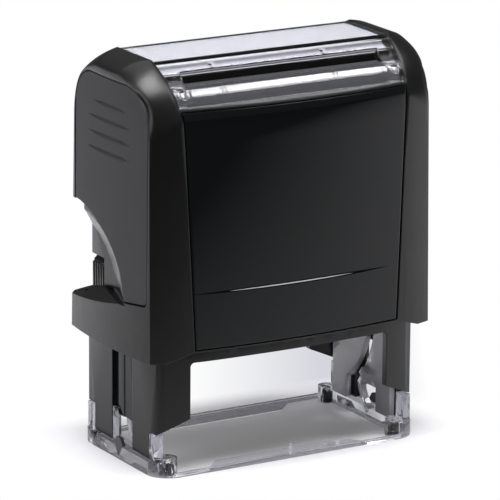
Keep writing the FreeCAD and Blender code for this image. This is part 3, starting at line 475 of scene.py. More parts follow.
def clear_plastic(name, colour, density, tint, clear=1.0):
    """Clear moulding: slightly smoky body, soft edges and faint flow ripple.

    Lamps shine through it, dimmed a little, so that what lies under it is lit.
    """
    tree, shader = start_material(name)
    wire(tree, shader, {
        "Base Color": mix_colour(tree, noise(tree, 60.0, 3.0), colour, shaded(colour, 0.97)),
        "Roughness": place(tree, "smudge", Base=0.05, Spread=0.05)["Roughness"],
        "Transmission Weight": clear,
        "IOR": 1.54,
        "Normal": bump(tree, noise(tree, 140.0, 2.0), 0.3, 0.00002,
                       place(tree, "edges", Radius=0.00025)["Normal"])})
    body = add(tree, "VolumeAbsorption", {"Color": (*tint, 1.0), "Density": density})
    wire(tree, tree.nodes["Material Output"], {"Volume": body.outputs[0]})
    through = add(tree, "BsdfTransparent", {"Color": SHADOW_TINT})
    choose_shader(tree, add(tree, "LightPath").outputs["Is Shadow Ray"], shader, through)


def paper(name, colour):
    """Card stock: fibre mottling and a fine tooth."""
    tree, shader = start_material(name)
    fibre = noise(tree, 1600.0, 4.0, 0.65, stretched(tree, (0.35, 1.0, 1.0)))
    cloud = fibre * noise(tree, 70.0, 3.0)
    wire(tree, shader, {
        "Base Color": mix_colour(tree, cloud, colour, shaded(colour, 0.965)),
        "Roughness": 0.75,
        "Specular IOR Level": 0.3,
        "Normal": bump(tree, fibre, 0.3, 0.00002)})


def soft_material(name, colour, scale, height, roughness, pores=0.0):
    """Rubber, foam or felt: cell or fibre bump, cloudy colour and pale rubbed edges."""
    tree, shader = start_material(name)
    edges = place(tree, "edges", Radius=0.0003)
    cells = add(tree, "TexVoronoi", {"Vector": spot(tree), "Scale": scale})
    fuzz = noise(tree, scale * 2.0, 4.0, 0.7) + Signal(tree, cells.outputs["Distance"]) * pores
    cloud = mix_colour(tree, noise(tree, scale * 0.12, 3.0), colour, shaded(colour, 0.72))
    wire(tree, shader, {
        "Base Color": mix_colour(tree, edges["Edge"] * 0.5, cloud, shaded(colour, 1.3)),
        "Roughness": place(tree, "smudge", Base=roughness, Spread=0.12)["Roughness"],
        "Specular IOR Level": 0.35,
        "Normal": bump(tree, fuzz, 0.7, height, edges["Normal"])})


def drawn_steel(name, colour, roughness):
    """Drawn or ground steel: fine lengthwise scratches in the roughness and the bump."""
    tree, shader = start_material(name)
    scratch = noise(tree, 2200.0, 3.0, 0.7, stretched(tree, (0.2, 3.0, 3.0)))
    wire(tree, shader, {
        "Base Color": mix_colour(tree, scratch, colour, shaded(colour, 0.8)),
        "Metallic": 1.0,
        "Roughness": scratch * 0.15 + roughness,
        "Normal": bump(tree, scratch, 0.3, 0.000008)})


def make_finishes(colours):
    """Every finish, by the name of its material slot."""
    plain = {"worn": 1.0, "dust": 0.02}
    moulded_plastic("satin_black", colours.shell, 0.30, 0.48, edge=0.00035, crown=0.0012)
    moulded_plastic("matte_black", colours.inlay, 0.62, 0.30, grain=3400.0, height=0.00002,
                    worn=1.4)
    moulded_plastic("arm_grey", (0.030, 0.030, 0.033), 0.40, 0.4)
    # Painted light: the grey of the sheets behind the clear bars, which gives the bars their lit
    # grey body
    moulded_plastic("painted_bar_grey", (0.055, 0.055, 0.060), 0.6, 0.2, **plain)
    # Painted shade: the near black of the sheets in the card slots; the front panel's dark groove
    # has it too
    moulded_plastic("shade_and_groove_black", (0.0015, 0.0015, 0.0015), 0.85, 0.04, **plain)
    # Painted light: the grey of the pale band that shows through the clear lips
    moulded_plastic("painted_lip_grey", (0.48, 0.47, 0.51), 0.6, 0.2, **plain)
    # Painted highlight of the lips' rounded edges
    moulded_plastic("painted_highlight_frost", (0.80, 0.79, 0.84), 0.6, 0.2, **plain)
    gloss_plastic("gloss_black", colours.panel, 0.40)
    gloss_plastic("mark_grey", (0.05, 0.05, 0.055), 0.4, 0.12)
    clear_plastic("clear_smoke", colours.clear, 60.0, (0.62, 0.62, 0.68))
    clear_plastic("guide_smoke", (0.80, 0.80, 0.83), 25.0, (0.80, 0.80, 0.84), 0.50)
    paper("card_white", colours.card)
    soft_material("foam_grey", (0.11, 0.11, 0.115), 1800.0, 0.00004, 0.85, 0.8)
    soft_material("text_rubber", colours.rubber, 2400.0, 0.000012, 0.6)
    soft_material("pad_felt", colours.ink, 1500.0, 0.00007, 0.7, 0.6)
    soft_material("plug_rubber", (0.010, 0.010, 0.011), 2000.0, 0.00001, 0.42)
    drawn_steel("pin_steel", (0.60, 0.60, 0.60), 0.18)
    drawn_steel("spring_steel", (0.55, 0.55, 0.57), 0.28)


# -------- mesh helpers
def corners(node):
    """Lowest and highest corners of a CAD node at rest, as arrays."""
    return (np.array(corner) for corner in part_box(node))


def new_object(name, data):
    """Object for a mesh, lamp or camera, linked to the scene."""
    thing = bpy.data.objects.new(name, data)
    bpy.context.scene.collection.objects.link(thing)
    return thing


def add_piece(name, solid, slot, body, replaces=(), smooth=30.0):
    """Piece from a solid's points in metres and its faces, closed and facing outwards."""
    points, faces = solid
    mesh = bpy.data.meshes.new(name)
    mesh.from_pydata([tuple(p) for p in points], [],
                     [tuple(int(i) for i in f) for f in faces])
    build = bmesh.new()
    build.from_mesh(mesh)
    bmesh.ops.remove_doubles(build, verts=build.verts, dist=2e-7)
    bmesh.ops.dissolve_degenerate(build, dist=1e-8, edges=build.edges)
    bmesh.ops.recalc_face_normals(build, faces=build.faces)
    build.to_mesh(mesh)
    build.free()
    mesh.validate()
    return tie_piece(name, mesh, slot, body, replaces, smooth)


def tie_piece(name, mesh, slot, body, replaces, smooth):
    """Object for a finished mesh, with its material, its body and what it stands for."""
    if slot not in FINISH:
        make_finishes(bpy.context.scene.stamp_colours)
    mesh.polygons.foreach_set("use_smooth", np.ones(len(mesh.polygons), bool))
    mesh.set_sharp_from_angle(angle=math.radians(smooth))
    mesh.materials.clear()
    mesh.materials.append(FINISH[slot])
    piece = new_object(name, mesh)
    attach(piece, body)
    if replaces:
        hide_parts(*replaces)
    return piece


def moulding(node, smooth=32.0, slot=None):
    """Smooth-shaded copy of a CAD node: its triangles merged, edges kept by angle."""
    mesh = frame["nodes"][node].data.copy()
    build = bmesh.new()
    build.from_mesh(mesh)
    bmesh.ops.remove_doubles(build, verts=build.verts, dist=1e-6)
    build.to_mesh(mesh)
    build.free()
    piece = tie_piece(node + "_moulding", mesh, slot or SLOTS[node],
                      frame["nodes"][node]["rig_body"], (node,), smooth)
    weigh = piece.modifiers.new("even shading", "WEIGHTED_NORMAL")
    weigh.keep_sharp = True
    return piece


def grid_faces(rows, columns, closed=False):
    """Quads of a grid of points, as indices; `closed` joins its last column to the first."""
    r, c = np.meshgrid(np.arange(rows - 1), np.arange(columns - (not closed)), indexing="ij")
    low, c = r.ravel() * columns, c.ravel()
    high, c2 = low + columns, (c + 1) % columns
    return np.stack([low + c, low + c2, high + c2, high + c], 1)


def carried(section, xs):
    """Closed solid: a closed (y, z) profile in millimetres carried along X.

    section(x) gives the N x 2 profile at each x, so point (i, j) is (x_i, y_j(x_i), z_j(x_i));
    the first and last profile are closed by flat caps.
    """
    rows = [np.column_stack([np.full(len(s), x), s]) for x, s in ((x, section(x)) for x in xs)]
    points = np.concatenate(rows)
    n = len(rows[0])
    faces = list(grid_faces(len(rows), n, True))
    faces.append(tuple(range(n - 1, -1, -1)))
    faces.append(tuple(range((len(rows) - 1) * n, len(rows) * n)))
    return points * MM, faces


def slab_block(half, corner, low, high, dome=0.0):
    """Cushion-shaped block: rings around the outline, then smaller ones up to the middle.

    The outline is a rounded rectangle of half sizes `half` and corner radius `corner`. Quarter
    circles round the flat bottom at `low` and the top, z = high + dome (1 - u^2)(1 - v^2),
    with u and v running from -1 to 1 over the half sizes.
    """
    angle = np.linspace(0, 2 * np.pi, 96, endpoint=False) + np.pi / 4
    unit = np.column_stack([np.cos(angle), np.sin(angle)])
    rim = np.sign(unit) * (np.array(half) - corner) + unit * corner
    radius = min(corner, (high - low) / 2) * 0.6
    rings = []
    turn = np.linspace(0.0, np.pi / 2, 5)
    for level, way, turns in ((low, 1, turn), (high, -1, turn[::-1])):
        rings += [(rim - unit * radius * (1 - math.sin(t)),
                   np.full(len(rim), level + way * radius * (1 - math.cos(t)))) for t in turns]
    for share in (0.75, 0.5, 0.25):
        plan = (rim - unit * radius) * share
        lift = dome * (1 - (plan[:, 0] / half[0]) ** 2) * (1 - (plan[:, 1] / half[1]) ** 2)
        rings.append((plan, high + lift))
    points = np.concatenate([np.column_stack([p, z]) for p, z in rings]
                            + [np.array([[0.0, 0.0, high + dome]])])
    n = len(rim)
    faces = list(grid_faces(len(rings), n, True))
    last = (len(rings) - 1) * n
    faces += [(last + i, last + (i + 1) % n, len(points) - 1) for i in range(n)]
    faces.append(tuple(range(n - 1, -1, -1)))
    return points, faces


def lathe(profile, centre, steps=40):
    """Surface of revolution: (radius, z) profile turned about an upright axis."""
    angle = np.linspace(0, 2 * np.pi, steps, endpoint=False)
    radius = profile[:, :1]
    points = np.stack([centre[0] + radius * np.cos(angle), centre[1] + radius * np.sin(angle),
                       np.repeat(profile[:, 1:], steps, 1)], 2).reshape(-1, 3)
    return points, grid_faces(len(profile), steps, True)


def sheet_solid(outer, inner, present=None):
    """Closed solid from two grids of points in millimetres, maybe with holes.

    `present` tells for each cell of the grid whether it is there; where a present cell meets
    an absent one or the rim, a wall joins the two grids.
    """
    rows, wide = outer.shape[:2]
    if present is None:
        present = np.ones((rows - 1, wide - 1), bool)
    shift = rows * wide
    points = np.concatenate([outer.reshape(-1, 3), inner.reshape(-1, 3)])
    r, c = np.nonzero(present)
    a, b = r * wide + c, r * wide + c + 1
    d, e = a + wide, b + wide
    faces = [np.stack([a, b, e, d], 1), np.stack([a, d, e, b], 1) + shift]
    padded = np.pad(present, 1)
    for step, first, second in (((-1, 0), a, b), ((1, 0), e, d), ((0, -1), d, a),
                                ((0, 1), b, e)):
        edge = ~padded[r + 1 + step[0], c + 1 + step[1]]
        p, q = first[edge], second[edge]
        faces.append(np.stack([q, p, p + shift, q + shift], 1))
    faces = np.concatenate(faces)
    used, fresh = np.unique(faces, return_inverse=True)
    return points[used] * MM, fresh.reshape(faces.shape)


def smooth_step(value, low, high):
    """0 below `low`, 1 above `high`, and an even ramp 3 s^2 - 2 s^3 between."""
    share = np.clip((value - low) / (high - low), 0.0, 1.0)
    return share * share * (3.0 - 2.0 * share)


def hump(value, rise, fall):
    """1 between two smooth steps, up over the first span and down over the second."""
    return smooth_step(value, *rise) * (1.0 - smooth_step(value, *fall))


# -------- the form of the shell
def shell_depth(x):
    """Half depth of the shell at x: a flat parabola, then a tighter one to the corner."""
    x = np.abs(x)
    curve = (SHELL_FRONT - SHELL_SHOULDER) / SHELL_BOW_HALF ** 2
    slope = 2 * curve * SHELL_BOW_HALF
    rest = SHELL_HALF - SHELL_BOW_HALF
    extra = (SHELL_SHOULDER - slope * rest - SHELL_CORNER) / rest ** 2
    past = x - SHELL_BOW_HALF
    return np.where(x <= SHELL_BOW_HALF, SHELL_FRONT - curve * x ** 2,
                    SHELL_SHOULDER - slope * past - extra * past ** 2)


def shell_face(x, z):
    """Half depth of the upright face at (x, z): the bow less a lean that grows with z."""
    deep = shell_depth(x)
    lean = LEAN_FRONT + (LEAN_CORNER - LEAN_FRONT) * (
        (SHELL_FRONT - deep) / (SHELL_FRONT - SHELL_CORNER))
    return deep - lean * (z - SHELL_BOTTOM) / (ROLL_START - SHELL_BOTTOM)


def end_skin(y, z):
    """Half length of the end face: an arc in plan that leans in evenly towards the top."""
    lean = END_LEAN * (z - SHELL_BOTTOM + 5.0) / (SHELL_TOP - SHELL_BOTTOM + 10.0)
    radius = (SHELL_CORNER ** 2 + END_BULGE ** 2) / (2 * END_BULGE)
    return SHELL_HALF - lean + END_BULGE - (radius - np.sqrt(radius ** 2 - y ** 2))


def inlay_top(y):
    """Upper edge of the inlay: level, with two large round corners."""
    edge = np.minimum(y - INLAY_FRONT, INLAY_BACK - y)
    t = np.sqrt(np.clip(edge / INLAY_CORNER_Y, 0.0, 1.0))
    return INLAY_TOP - INLAY_CORNER_Z * (1 - t) ** 2 - 2.0 * t * (1 - t)


def inlay_foot(y):
    """Lower edge of the inlay: a slanted foot with a round corner, then the dish's curve."""
    foot = BELT_FRONT + 0.1 - FOOT_SLOPE * (y - DISH_FRONT)
    t = np.sqrt(np.clip((y - INLAY_FRONT) / INLAY_FOOT_ROUND, 0.0, 1.0))
    dish = np.interp(y, *DISH_CURVE)
    return np.where(y < DISH_FRONT, foot + INLAY_FOOT_ROUND * (1 - t) ** 2,
                    np.maximum(foot, dish))


def dish_curve():
    """Edge of the finger dish on the end face: a cubic through its four marks."""
    marks = np.array(DISH_MARKS)
    way = np.concatenate([[0.0], np.cumsum(np.hypot(*np.diff(marks, axis=0).T))])
    t = np.linspace(0.0, way[-1], 300)
    y, z = (np.polyval(np.polyfit(way, marks[:, k], 3), t) for k in (0, 1))
    return np.maximum.accumulate(y), z


DISH_CURVE = dish_curve()


def window_section():
    """Half of the window's outer section from its lower rim to the middle.

    A quadratic curve through the knee, bend and flat control points, then the flat top, as
    three finely spaced arrays: the way along the curve in mm, y and z.
    """
    knee, bend, flat = (np.array(p) for p in (WINDOW_KNEE, WINDOW_BEND, WINDOW_FLAT))
    t = np.linspace(0.0, 1.0, 1200)[:, None]
    roll = (1 - t) ** 2 * knee + 2 * t * (1 - t) * bend + t ** 2 * flat
    roll = roll[roll[:, 1] >= WINDOW_LOW]
    top = np.column_stack([np.linspace(flat[0], 0.0, 200)[1:], np.full(199, flat[1])])
    curve = np.concatenate([roll, top])
    way = np.concatenate([[0.0], np.cumsum(np.hypot(*np.diff(curve, axis=0).T))])
    return way, curve[:, 0], curve[:, 1]


def section_normals(slope):
    """Unit outward normals of a (y, z) curve from its slopes along the way."""
    slope = slope / np.hypot(*slope.T)[:, None]
    return np.column_stack([slope[:, 1], -slope[:, 0]])


# -------- operators
class StampOperator:
    """What the stamp's operators share."""
    bl_options = {"REGISTER", "UNDO"}


class STAMP_OT_shell(StampOperator, bpy.types.Operator):
    """Smooth mouldings of the shell and its arms"""
    bl_idname = "stamp.shell"
    bl_label = "Shell"

    def execute(self, context):
        moulding("outer_shell", smooth=10.0)
        for node in ("shell_arm_left", "shell_arm_right"):
            moulding(node)
        return {"FINISHED"}


class STAMP_OT_inlays(StampOperator, bpy.types.Operator):
    """Matte inlays of the end faces with their grip grooves"""
    bl_idname = "stamp.inlays"
    bl_label = "Side inlays"

    def execute(self, context):
        depth = context.scene.stamp_sizes.grip_depth / MM
        for side, end in ((-1, "left"), (1, "right")):
            self.inlay("side_inlay_" + end, "side_panel_" + end, side, depth)
        return {"FINISHED"}

    def inlay(self, name, node, side, depth):
        """Inlay on two parameters: u from front to back, v from its foot to its top.

        x = side (skin(y, z) - 0.04 - groove(y, z)) inside a rounded rim; the skin is the bowed,
        leaning end face, and each groove is depth (1 - s^2)^1.5 with s the height over its
        lens half height.
        """
        u = np.concatenate([np.linspace(0.0, 0.10, 12), np.linspace(0.10, 0.9, 70)[1:],
                            np.linspace(0.9, 1.0, 12)[1:]])
        y, v = np.meshgrid(INLAY_FRONT + u * (INLAY_BACK - INLAY_FRONT),
                           np.linspace(0.0, 1.0, 260), indexing="ij")
        foot, top = inlay_foot(y), inlay_top(y)
        z = foot + v * (top - foot)
        skin = end_skin(y, z)
        cut = np.zeros_like(z)
        for row, (half, middle) in enumerate(GRIPS):
            reach = np.clip(1.0 - ((y - middle) / half) ** 2, 0.0, 1.0)
            s = np.abs(z - GRIP_TOP + GRIP_PITCH * row) / np.maximum(GRIP_HALF * reach, 1e-6)
            cut = np.maximum(cut, depth * np.clip(1.0 - s * s, 0.0, 1.0) ** 1.5
                             * np.sqrt(reach))
        inside = np.minimum.reduce([z - foot, top - z, y - INLAY_FRONT, INLAY_BACK - y])
        rim = INLAY_RIM_DROP * (1.0 - smooth_step(inside, 0.0, INLAY_RIM))
        outer, inner = (np.stack([side * x, y, z], 2)
                        for x in (skin - INLAY_SUNK - cut - rim, skin - INLAY_THICK))
        add_piece(name, sheet_solid(outer, inner), "matte_black", "shell", (node,), 40.0)


class STAMP_OT_panels(StampOperator, bpy.types.Operator):
    """Gloss panels at the front and back, with the pale line on the front"""
    bl_idname = "stamp.panels"
    bl_label = "Panels"

    def execute(self, context):
        sizes = context.scene.stamp_sizes
        for side, end in ((-1, "front_panel"), (1, "back_panel")):
            self.panel(end + "_skin", end, side, sizes.panel_crown / MM)
        self.line("panel_groove", "shade_and_groove_black", GROOVE_SPAN, sizes.groove_height / MM, 0.030)
        self.line("panel_line", "card_white", LINE_SPAN, sizes.line_height / MM, 0.045)
        return {"FINISHED"}

    def panel(self, name, node, side, crown):
        """Panel on two parameters, u across its width and v up its height, both sine-spaced.

        x = u half(z), y = side (face(x, z) - crown s^2 - drop), where s runs from 0 to 1 over
        the upper part. The drop rounds the sides and the foot by a quarter of a circle; the
        back of the panel lies evenly behind its face.
        """
        low, high = (c[2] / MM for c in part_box(node))
        low += PANEL_GAP / 2
        u, v = (np.sin(np.linspace(-np.pi / 2, np.pi / 2, count)) for count in (81, 97))
        u, v = np.meshgrid(u, low + (high - low) * (1 + v) / 2, indexing="ij")
        half = np.interp(v, *PANEL_HALF) - PANEL_GAP
        x = u * half
        s = np.clip(1.0 - (high - v) / PANEL_CROWN_TALL, 0.0, 1.0)
        roll = np.clip(v - ROLL_START, 0.0, None)
        t = np.clip(1.0 - np.minimum(half - np.abs(x), v - low) / PANEL_ROUND, 0.0, 1.0)
        depth = (shell_face(x, v) - crown * s ** 2 - ROLL_FALL * roll ** 2
                 - PANEL_ROUND * (1.0 - np.sqrt(1.0 - t * t)))
        front, back = (np.stack([x, side * y, v], 2) for y in (depth, depth - PANEL_THICK))
        add_piece(name, sheet_solid(front, back), "gloss_black", "shell", (node,))

    def line(self, name, slot, span, height, proud):
        """Slim lens carried along X on the front panel, pointed at both ends.

        Its half height is height / 2 (1 - |s|^3), with s from -1 to 1 along its length.
        """
        start, end = span
        angle = np.linspace(0, 2 * np.pi, 12, endpoint=False)

        def section(x):
            s = (2 * x - start - end) / (end - start)
            z = LINE_HEIGHT + max(height / 2 * (1 - abs(s) ** 3), LINE_LEAST) * np.sin(angle)
            return np.column_stack([-shell_face(x, z) - proud * np.cos(angle), z])

        add_piece(name, carried(section, np.linspace(start, end, 60)), slot, "shell")


class STAMP_OT_window(StampOperator, bpy.types.Operator):
    """Clear window: top plate, round bars, end blocks and their seams"""
    bl_idname = "stamp.window"
    bl_label = "Window"

    def execute(self, context):
        way, y, z = window_section()
        near, far = (np.interp(-d, -y, way) for d in (SLOT_NEAR, SLOT_FAR))
        ends = ((0.0, far, 34), (far, near, 8), (near, near + 5.5, 36), (near + 5.5, way[-1], 12))
        w = np.unique(np.concatenate([np.linspace(a, b, n + 1) for a, b, n in ends]))
        step = 0.02
        normal = section_normals(np.column_stack([
            np.interp(w + step, way, k) - np.interp(w - step, way, k) for k in (y, z)]))
        normal[-1] = (0.0, 1.0)
        half = np.column_stack([np.interp(w, way, y), np.interp(w, way, z)])
        block = np.linspace(0.0, 1.0, 25)[1:]
        x = np.concatenate([-SLOT_HALF - block[::-1], np.linspace(-SLOT_HALF, SLOT_HALF, 121),
                            SLOT_HALF + block])
        x, k = np.meshgrid(x, np.arange(len(w)), indexing="ij")
        room = WINDOW_HALF + WINDOW_TAPER * (half[k, 1] - WINDOW_LOW) / WINDOW_TALL - SLOT_HALF
        x = np.sign(x) * (np.minimum(np.abs(x), SLOT_HALF)
                          + np.clip(np.abs(x) - SLOT_HALF, 0.0, None) * room)
        lift = self.relief(x, w[k], near, far, way[-1], context.scene.stamp_sizes)
        lip = LIP_THIN + LIP_GROW * smooth_step(w[k] - near, 0.0, LIP_DEEP)
        under = self.bar_lift(w[k], far) - np.where(w[k] >= near, lip, WINDOW_WALL)
        sheets = []
        for rise in (lift, under):
            front, back = (np.stack([x, sign * (half[k, 0] + rise * normal[k, 0]),
                                     half[k, 1] + rise * normal[k, 1]], 2) for sign in (-1, 1))
            sheets.append(np.concatenate([front, back[:, -2::-1]], 1))
        cell = (w[:-1] + w[1:]) / 2
        open_slot = (cell > far) & (cell < near)
        open_slot = np.concatenate([open_slot, open_slot[::-1]])
        between = np.abs((x[:-1, 0] + x[1:, 0]) / 2) < SLOT_HALF
        cover = sheet_solid(*sheets, ~(between[:, None] & open_slot[None, :]))
        add_piece("window_cover", cover, "clear_smoke", "window", ("top_window",), 38.0)
        return {"FINISHED"}

    def bar_lift(self, w, far):
        """Bulge of the bar in front of the slot: half a wave over its width."""
        return BAR_BULGE * np.sin(np.pi * np.clip(w / far, 0.0, 1.0))

    def relief(self, x, w, near, far, last, sizes):
        """Height over the plain section, in mm, at (x, way along the section).

        The bar is a half wave over its width; the slot's lips fall away by a circle of the lip
        radius; the end blocks stand up beside the bar, with a shallow pocket, and lie deeper
        with a groove beside the slot; two seams run across the lip and the bar.
        """
        radius = sizes.lip_radius / MM
        past = np.abs(x) - SLOT_HALF
        from_slot = np.where(w < far, far - w, np.where(w > near, w - near, 0.0))
        fall = radius - np.sqrt(np.clip(radius ** 2 - (radius - from_slot).clip(0) ** 2, 0, None))
        rise = self.bar_lift(w, far) - np.where((past <= 1e-6) & (from_slot < radius), fall, 0.0)
        rise -= 0.25 * (1.0 - smooth_step(w, 0.0, 0.5))
        across = np.abs(w - (near + far) / 2)
        deep = 0.55 + 0.35 * (1.0 - smooth_step(across, 0.15, 0.5))
        rise -= (1.0 - smooth_step(across, 1.0, 1.7)) * deep * smooth_step(past, 0.0, 0.4)
        stand = hump(past, (0.0, 0.5), (3.3, 3.8)) * hump(w, (0.6, 1.2), (far - 1.0, far - 0.3))
        pocket = hump(past, (1.1, 1.4), (2.5, 2.8)) * hump(w, (1.7, 2.0), (3.6, 3.9))
        rise += 0.25 * stand - 0.35 * pocket
        for middle in SEAMS:
            seam = 1.0 - smooth_step(np.abs(x - middle), 0.0, sizes.seam_width / MM / 2)
            rise += 0.12 * seam * (1.0 - smooth_step(w, near + 1.6, near + 2.2))
        start, end = RELIEF_END
        return rise * (1.0 - smooth_step(w, last - start, last - end))


class STAMP_OT_card(StampOperator, bpy.types.Operator):
    """Index card that lies under the window"""
    bl_idname = "stamp.card"
    bl_label = "Index card"

    def execute(self, context):
        low, high = corners("index_card")
        bow = context.scene.stamp_sizes.card_bow
        clear = CARD_CLEAR * MM
        sheet = slab_block((CARD_HALF_LENGTH * MM, CARD_HALF_DEPTH * MM), CARD_CORNER * MM,
                           low[2] + clear, high[2] - bow - clear, bow)
        add_piece("card_sheet", sheet, "card_white", "shell", ("index_card",))
        # Sheets of painted light and painted shade under the window, and the painted highlight on
        # the lips' edges
        for strip in PAINTED_SHEETS:
            self.painted_sheet(*strip)
        # Painted highlight: a pale strip along the rounded edge of each slot's lip, riding on the
        # window
        self.painted_sheet("lip_highlight_strip", "painted_highlight_frost", SLOT_NEAR + 0.07, SLOT_NEAR + 0.01, 0.06, 0.74,
                    SLOT_HALF - 0.1, "window")
        return {"FINISHED"}

    def painted_sheet(self, name, slot, front, back, outer, inner, half=PAINTED_SHEET_HALF, body="shell"):
        """Thin strip under the sloping part of the window, carried along X, coloured to paint the
        light and the shade that show through the window.

        It runs from one depth to another at an even distance under the window's section.
        """
        way, y, z = window_section()
        w = np.linspace(np.interp(-front, -y, way), np.interp(-back, -y, way), 24)
        curve = np.column_stack([np.interp(w, way, y), np.interp(w, way, z)])
        normal = section_normals(np.gradient(curve, w, axis=0))
        profile = np.concatenate([curve - outer * normal, (curve - inner * normal)[::-1]])
        for side, end in ((-1, "front"), (1, "back")):
            strip = carried(lambda x: profile * (side, 1.0), np.linspace(-half, half, 12))
            add_piece("%s_%s" % (name, end), strip, slot, body)


class STAMP_OT_frame(StampOperator, bpy.types.Operator):
    """Leg frame with its webs, guide plates and end arrows"""
    bl_idname = "stamp.frame"
    bl_label = "Leg frame"

    def execute(self, context):
        for node in ("leg_frame", "end_web_left", "end_web_right", "centre_mark_left",
                     "centre_mark_right", "spring_peg_left", "spring_peg_right"):
            moulding(node)
        for node in ("guide_plate_left", "guide_plate_right"):
            moulding(node, smooth=40.0, slot="guide_smoke")
        return {"FINISHED"}


class STAMP_OT_foot(StampOperator, bpy.types.Operator):
    """Clear foot and the rubber plugs in its corners"""
    bl_idname = "stamp.foot"
    bl_label = "Clear foot"

    def execute(self, context):
        moulding("clear_foot", smooth=40.0)
        for end in ("front", "back"):
            for side in ("left", "right"):
                self.plug("rubber_plug_%s_%s" % (end, side))
        return {"FINISHED"}

    def plug(self, node):
        """Plug turned about its axis: flat sole, chamfer, straight shank, ribs and a dome."""
        low, high = corners(node)
        radius = (high[0] - low[0]) / 2
        tall = high[2] - low[2]
        angle = np.linspace(0, np.pi / 2, 10)
        dome = np.column_stack([0.93 * np.cos(angle), 0.62 + 0.38 * np.sin(angle)])
        sole = ((0.0, 0.0), (0.45, 0.0), (0.5, 0.06), (0.6, 0.06), (0.66, 0.0), (0.88, 0.0),
                (1.0, 0.07), (1.0, 0.3), (0.94, 0.34), (0.94, 0.40), (1.0, 0.44), (1.0, 0.56))
        profile = np.concatenate([sole, dome]) * (radius, tall) + (0.0, low[2])
        add_piece(node + "_turned", lathe(profile, ((low + high) / 2)[:2]), "plug_rubber",
                  "frame", (node,), 38.0)


class STAMP_OT_plate(StampOperator, bpy.types.Operator):
    """Text plate with its foam, carrier and axle pins"""
    bl_idname = "stamp.plate"
    bl_label = "Text plate"

    def execute(self, context):
        for node in ("plate_carrier", "axle_pin_left", "axle_pin_right", "text_plate"):
            moulding(node)
        soft_block("plate_foam", "foam_layer", "foam_grey", "plate", FOAM_CORNER * MM)
        return {"FINISHED"}


class STAMP_OT_cartridge(StampOperator, bpy.types.Operator):
    """Ink cartridge: tray, ribbed grips and felt pad"""
    bl_idname = "stamp.cartridge"
    bl_label = "Ink cartridge"

    def execute(self, context):
        for node in ("ink_tray", "cartridge_grip_left", "cartridge_grip_right"):
            moulding(node)
        soft_block("ink_pad", "felt_pad", "pad_felt", "cartridge", PAD_CORNER * MM)
        return {"FINISHED"}


def soft_block(node, name, slot, body, corner):
    """Rounded block that stands for a plain soft solid, made on its box."""
    low, high = corners(node)
    block = slab_block((high - low)[:2] / 2, corner, low[2], high[2])
    block[0][:, :2] += ((high + low) / 2)[:2]
    add_piece(name, block, slot, body, (node,))


class STAMP_OT_springs(StampOperator, bpy.types.Operator):
    """Return springs: smooth copies, each with a mesh of its own"""
    bl_idname = "stamp.springs"
    bl_label = "Return springs"

    def execute(self, context):
        for side in ("left", "right"):
            node = "return_spring_" + side
            piece = moulding(node)
            piece.modifiers.clear()
            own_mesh(piece)
        return {"FINISHED"}


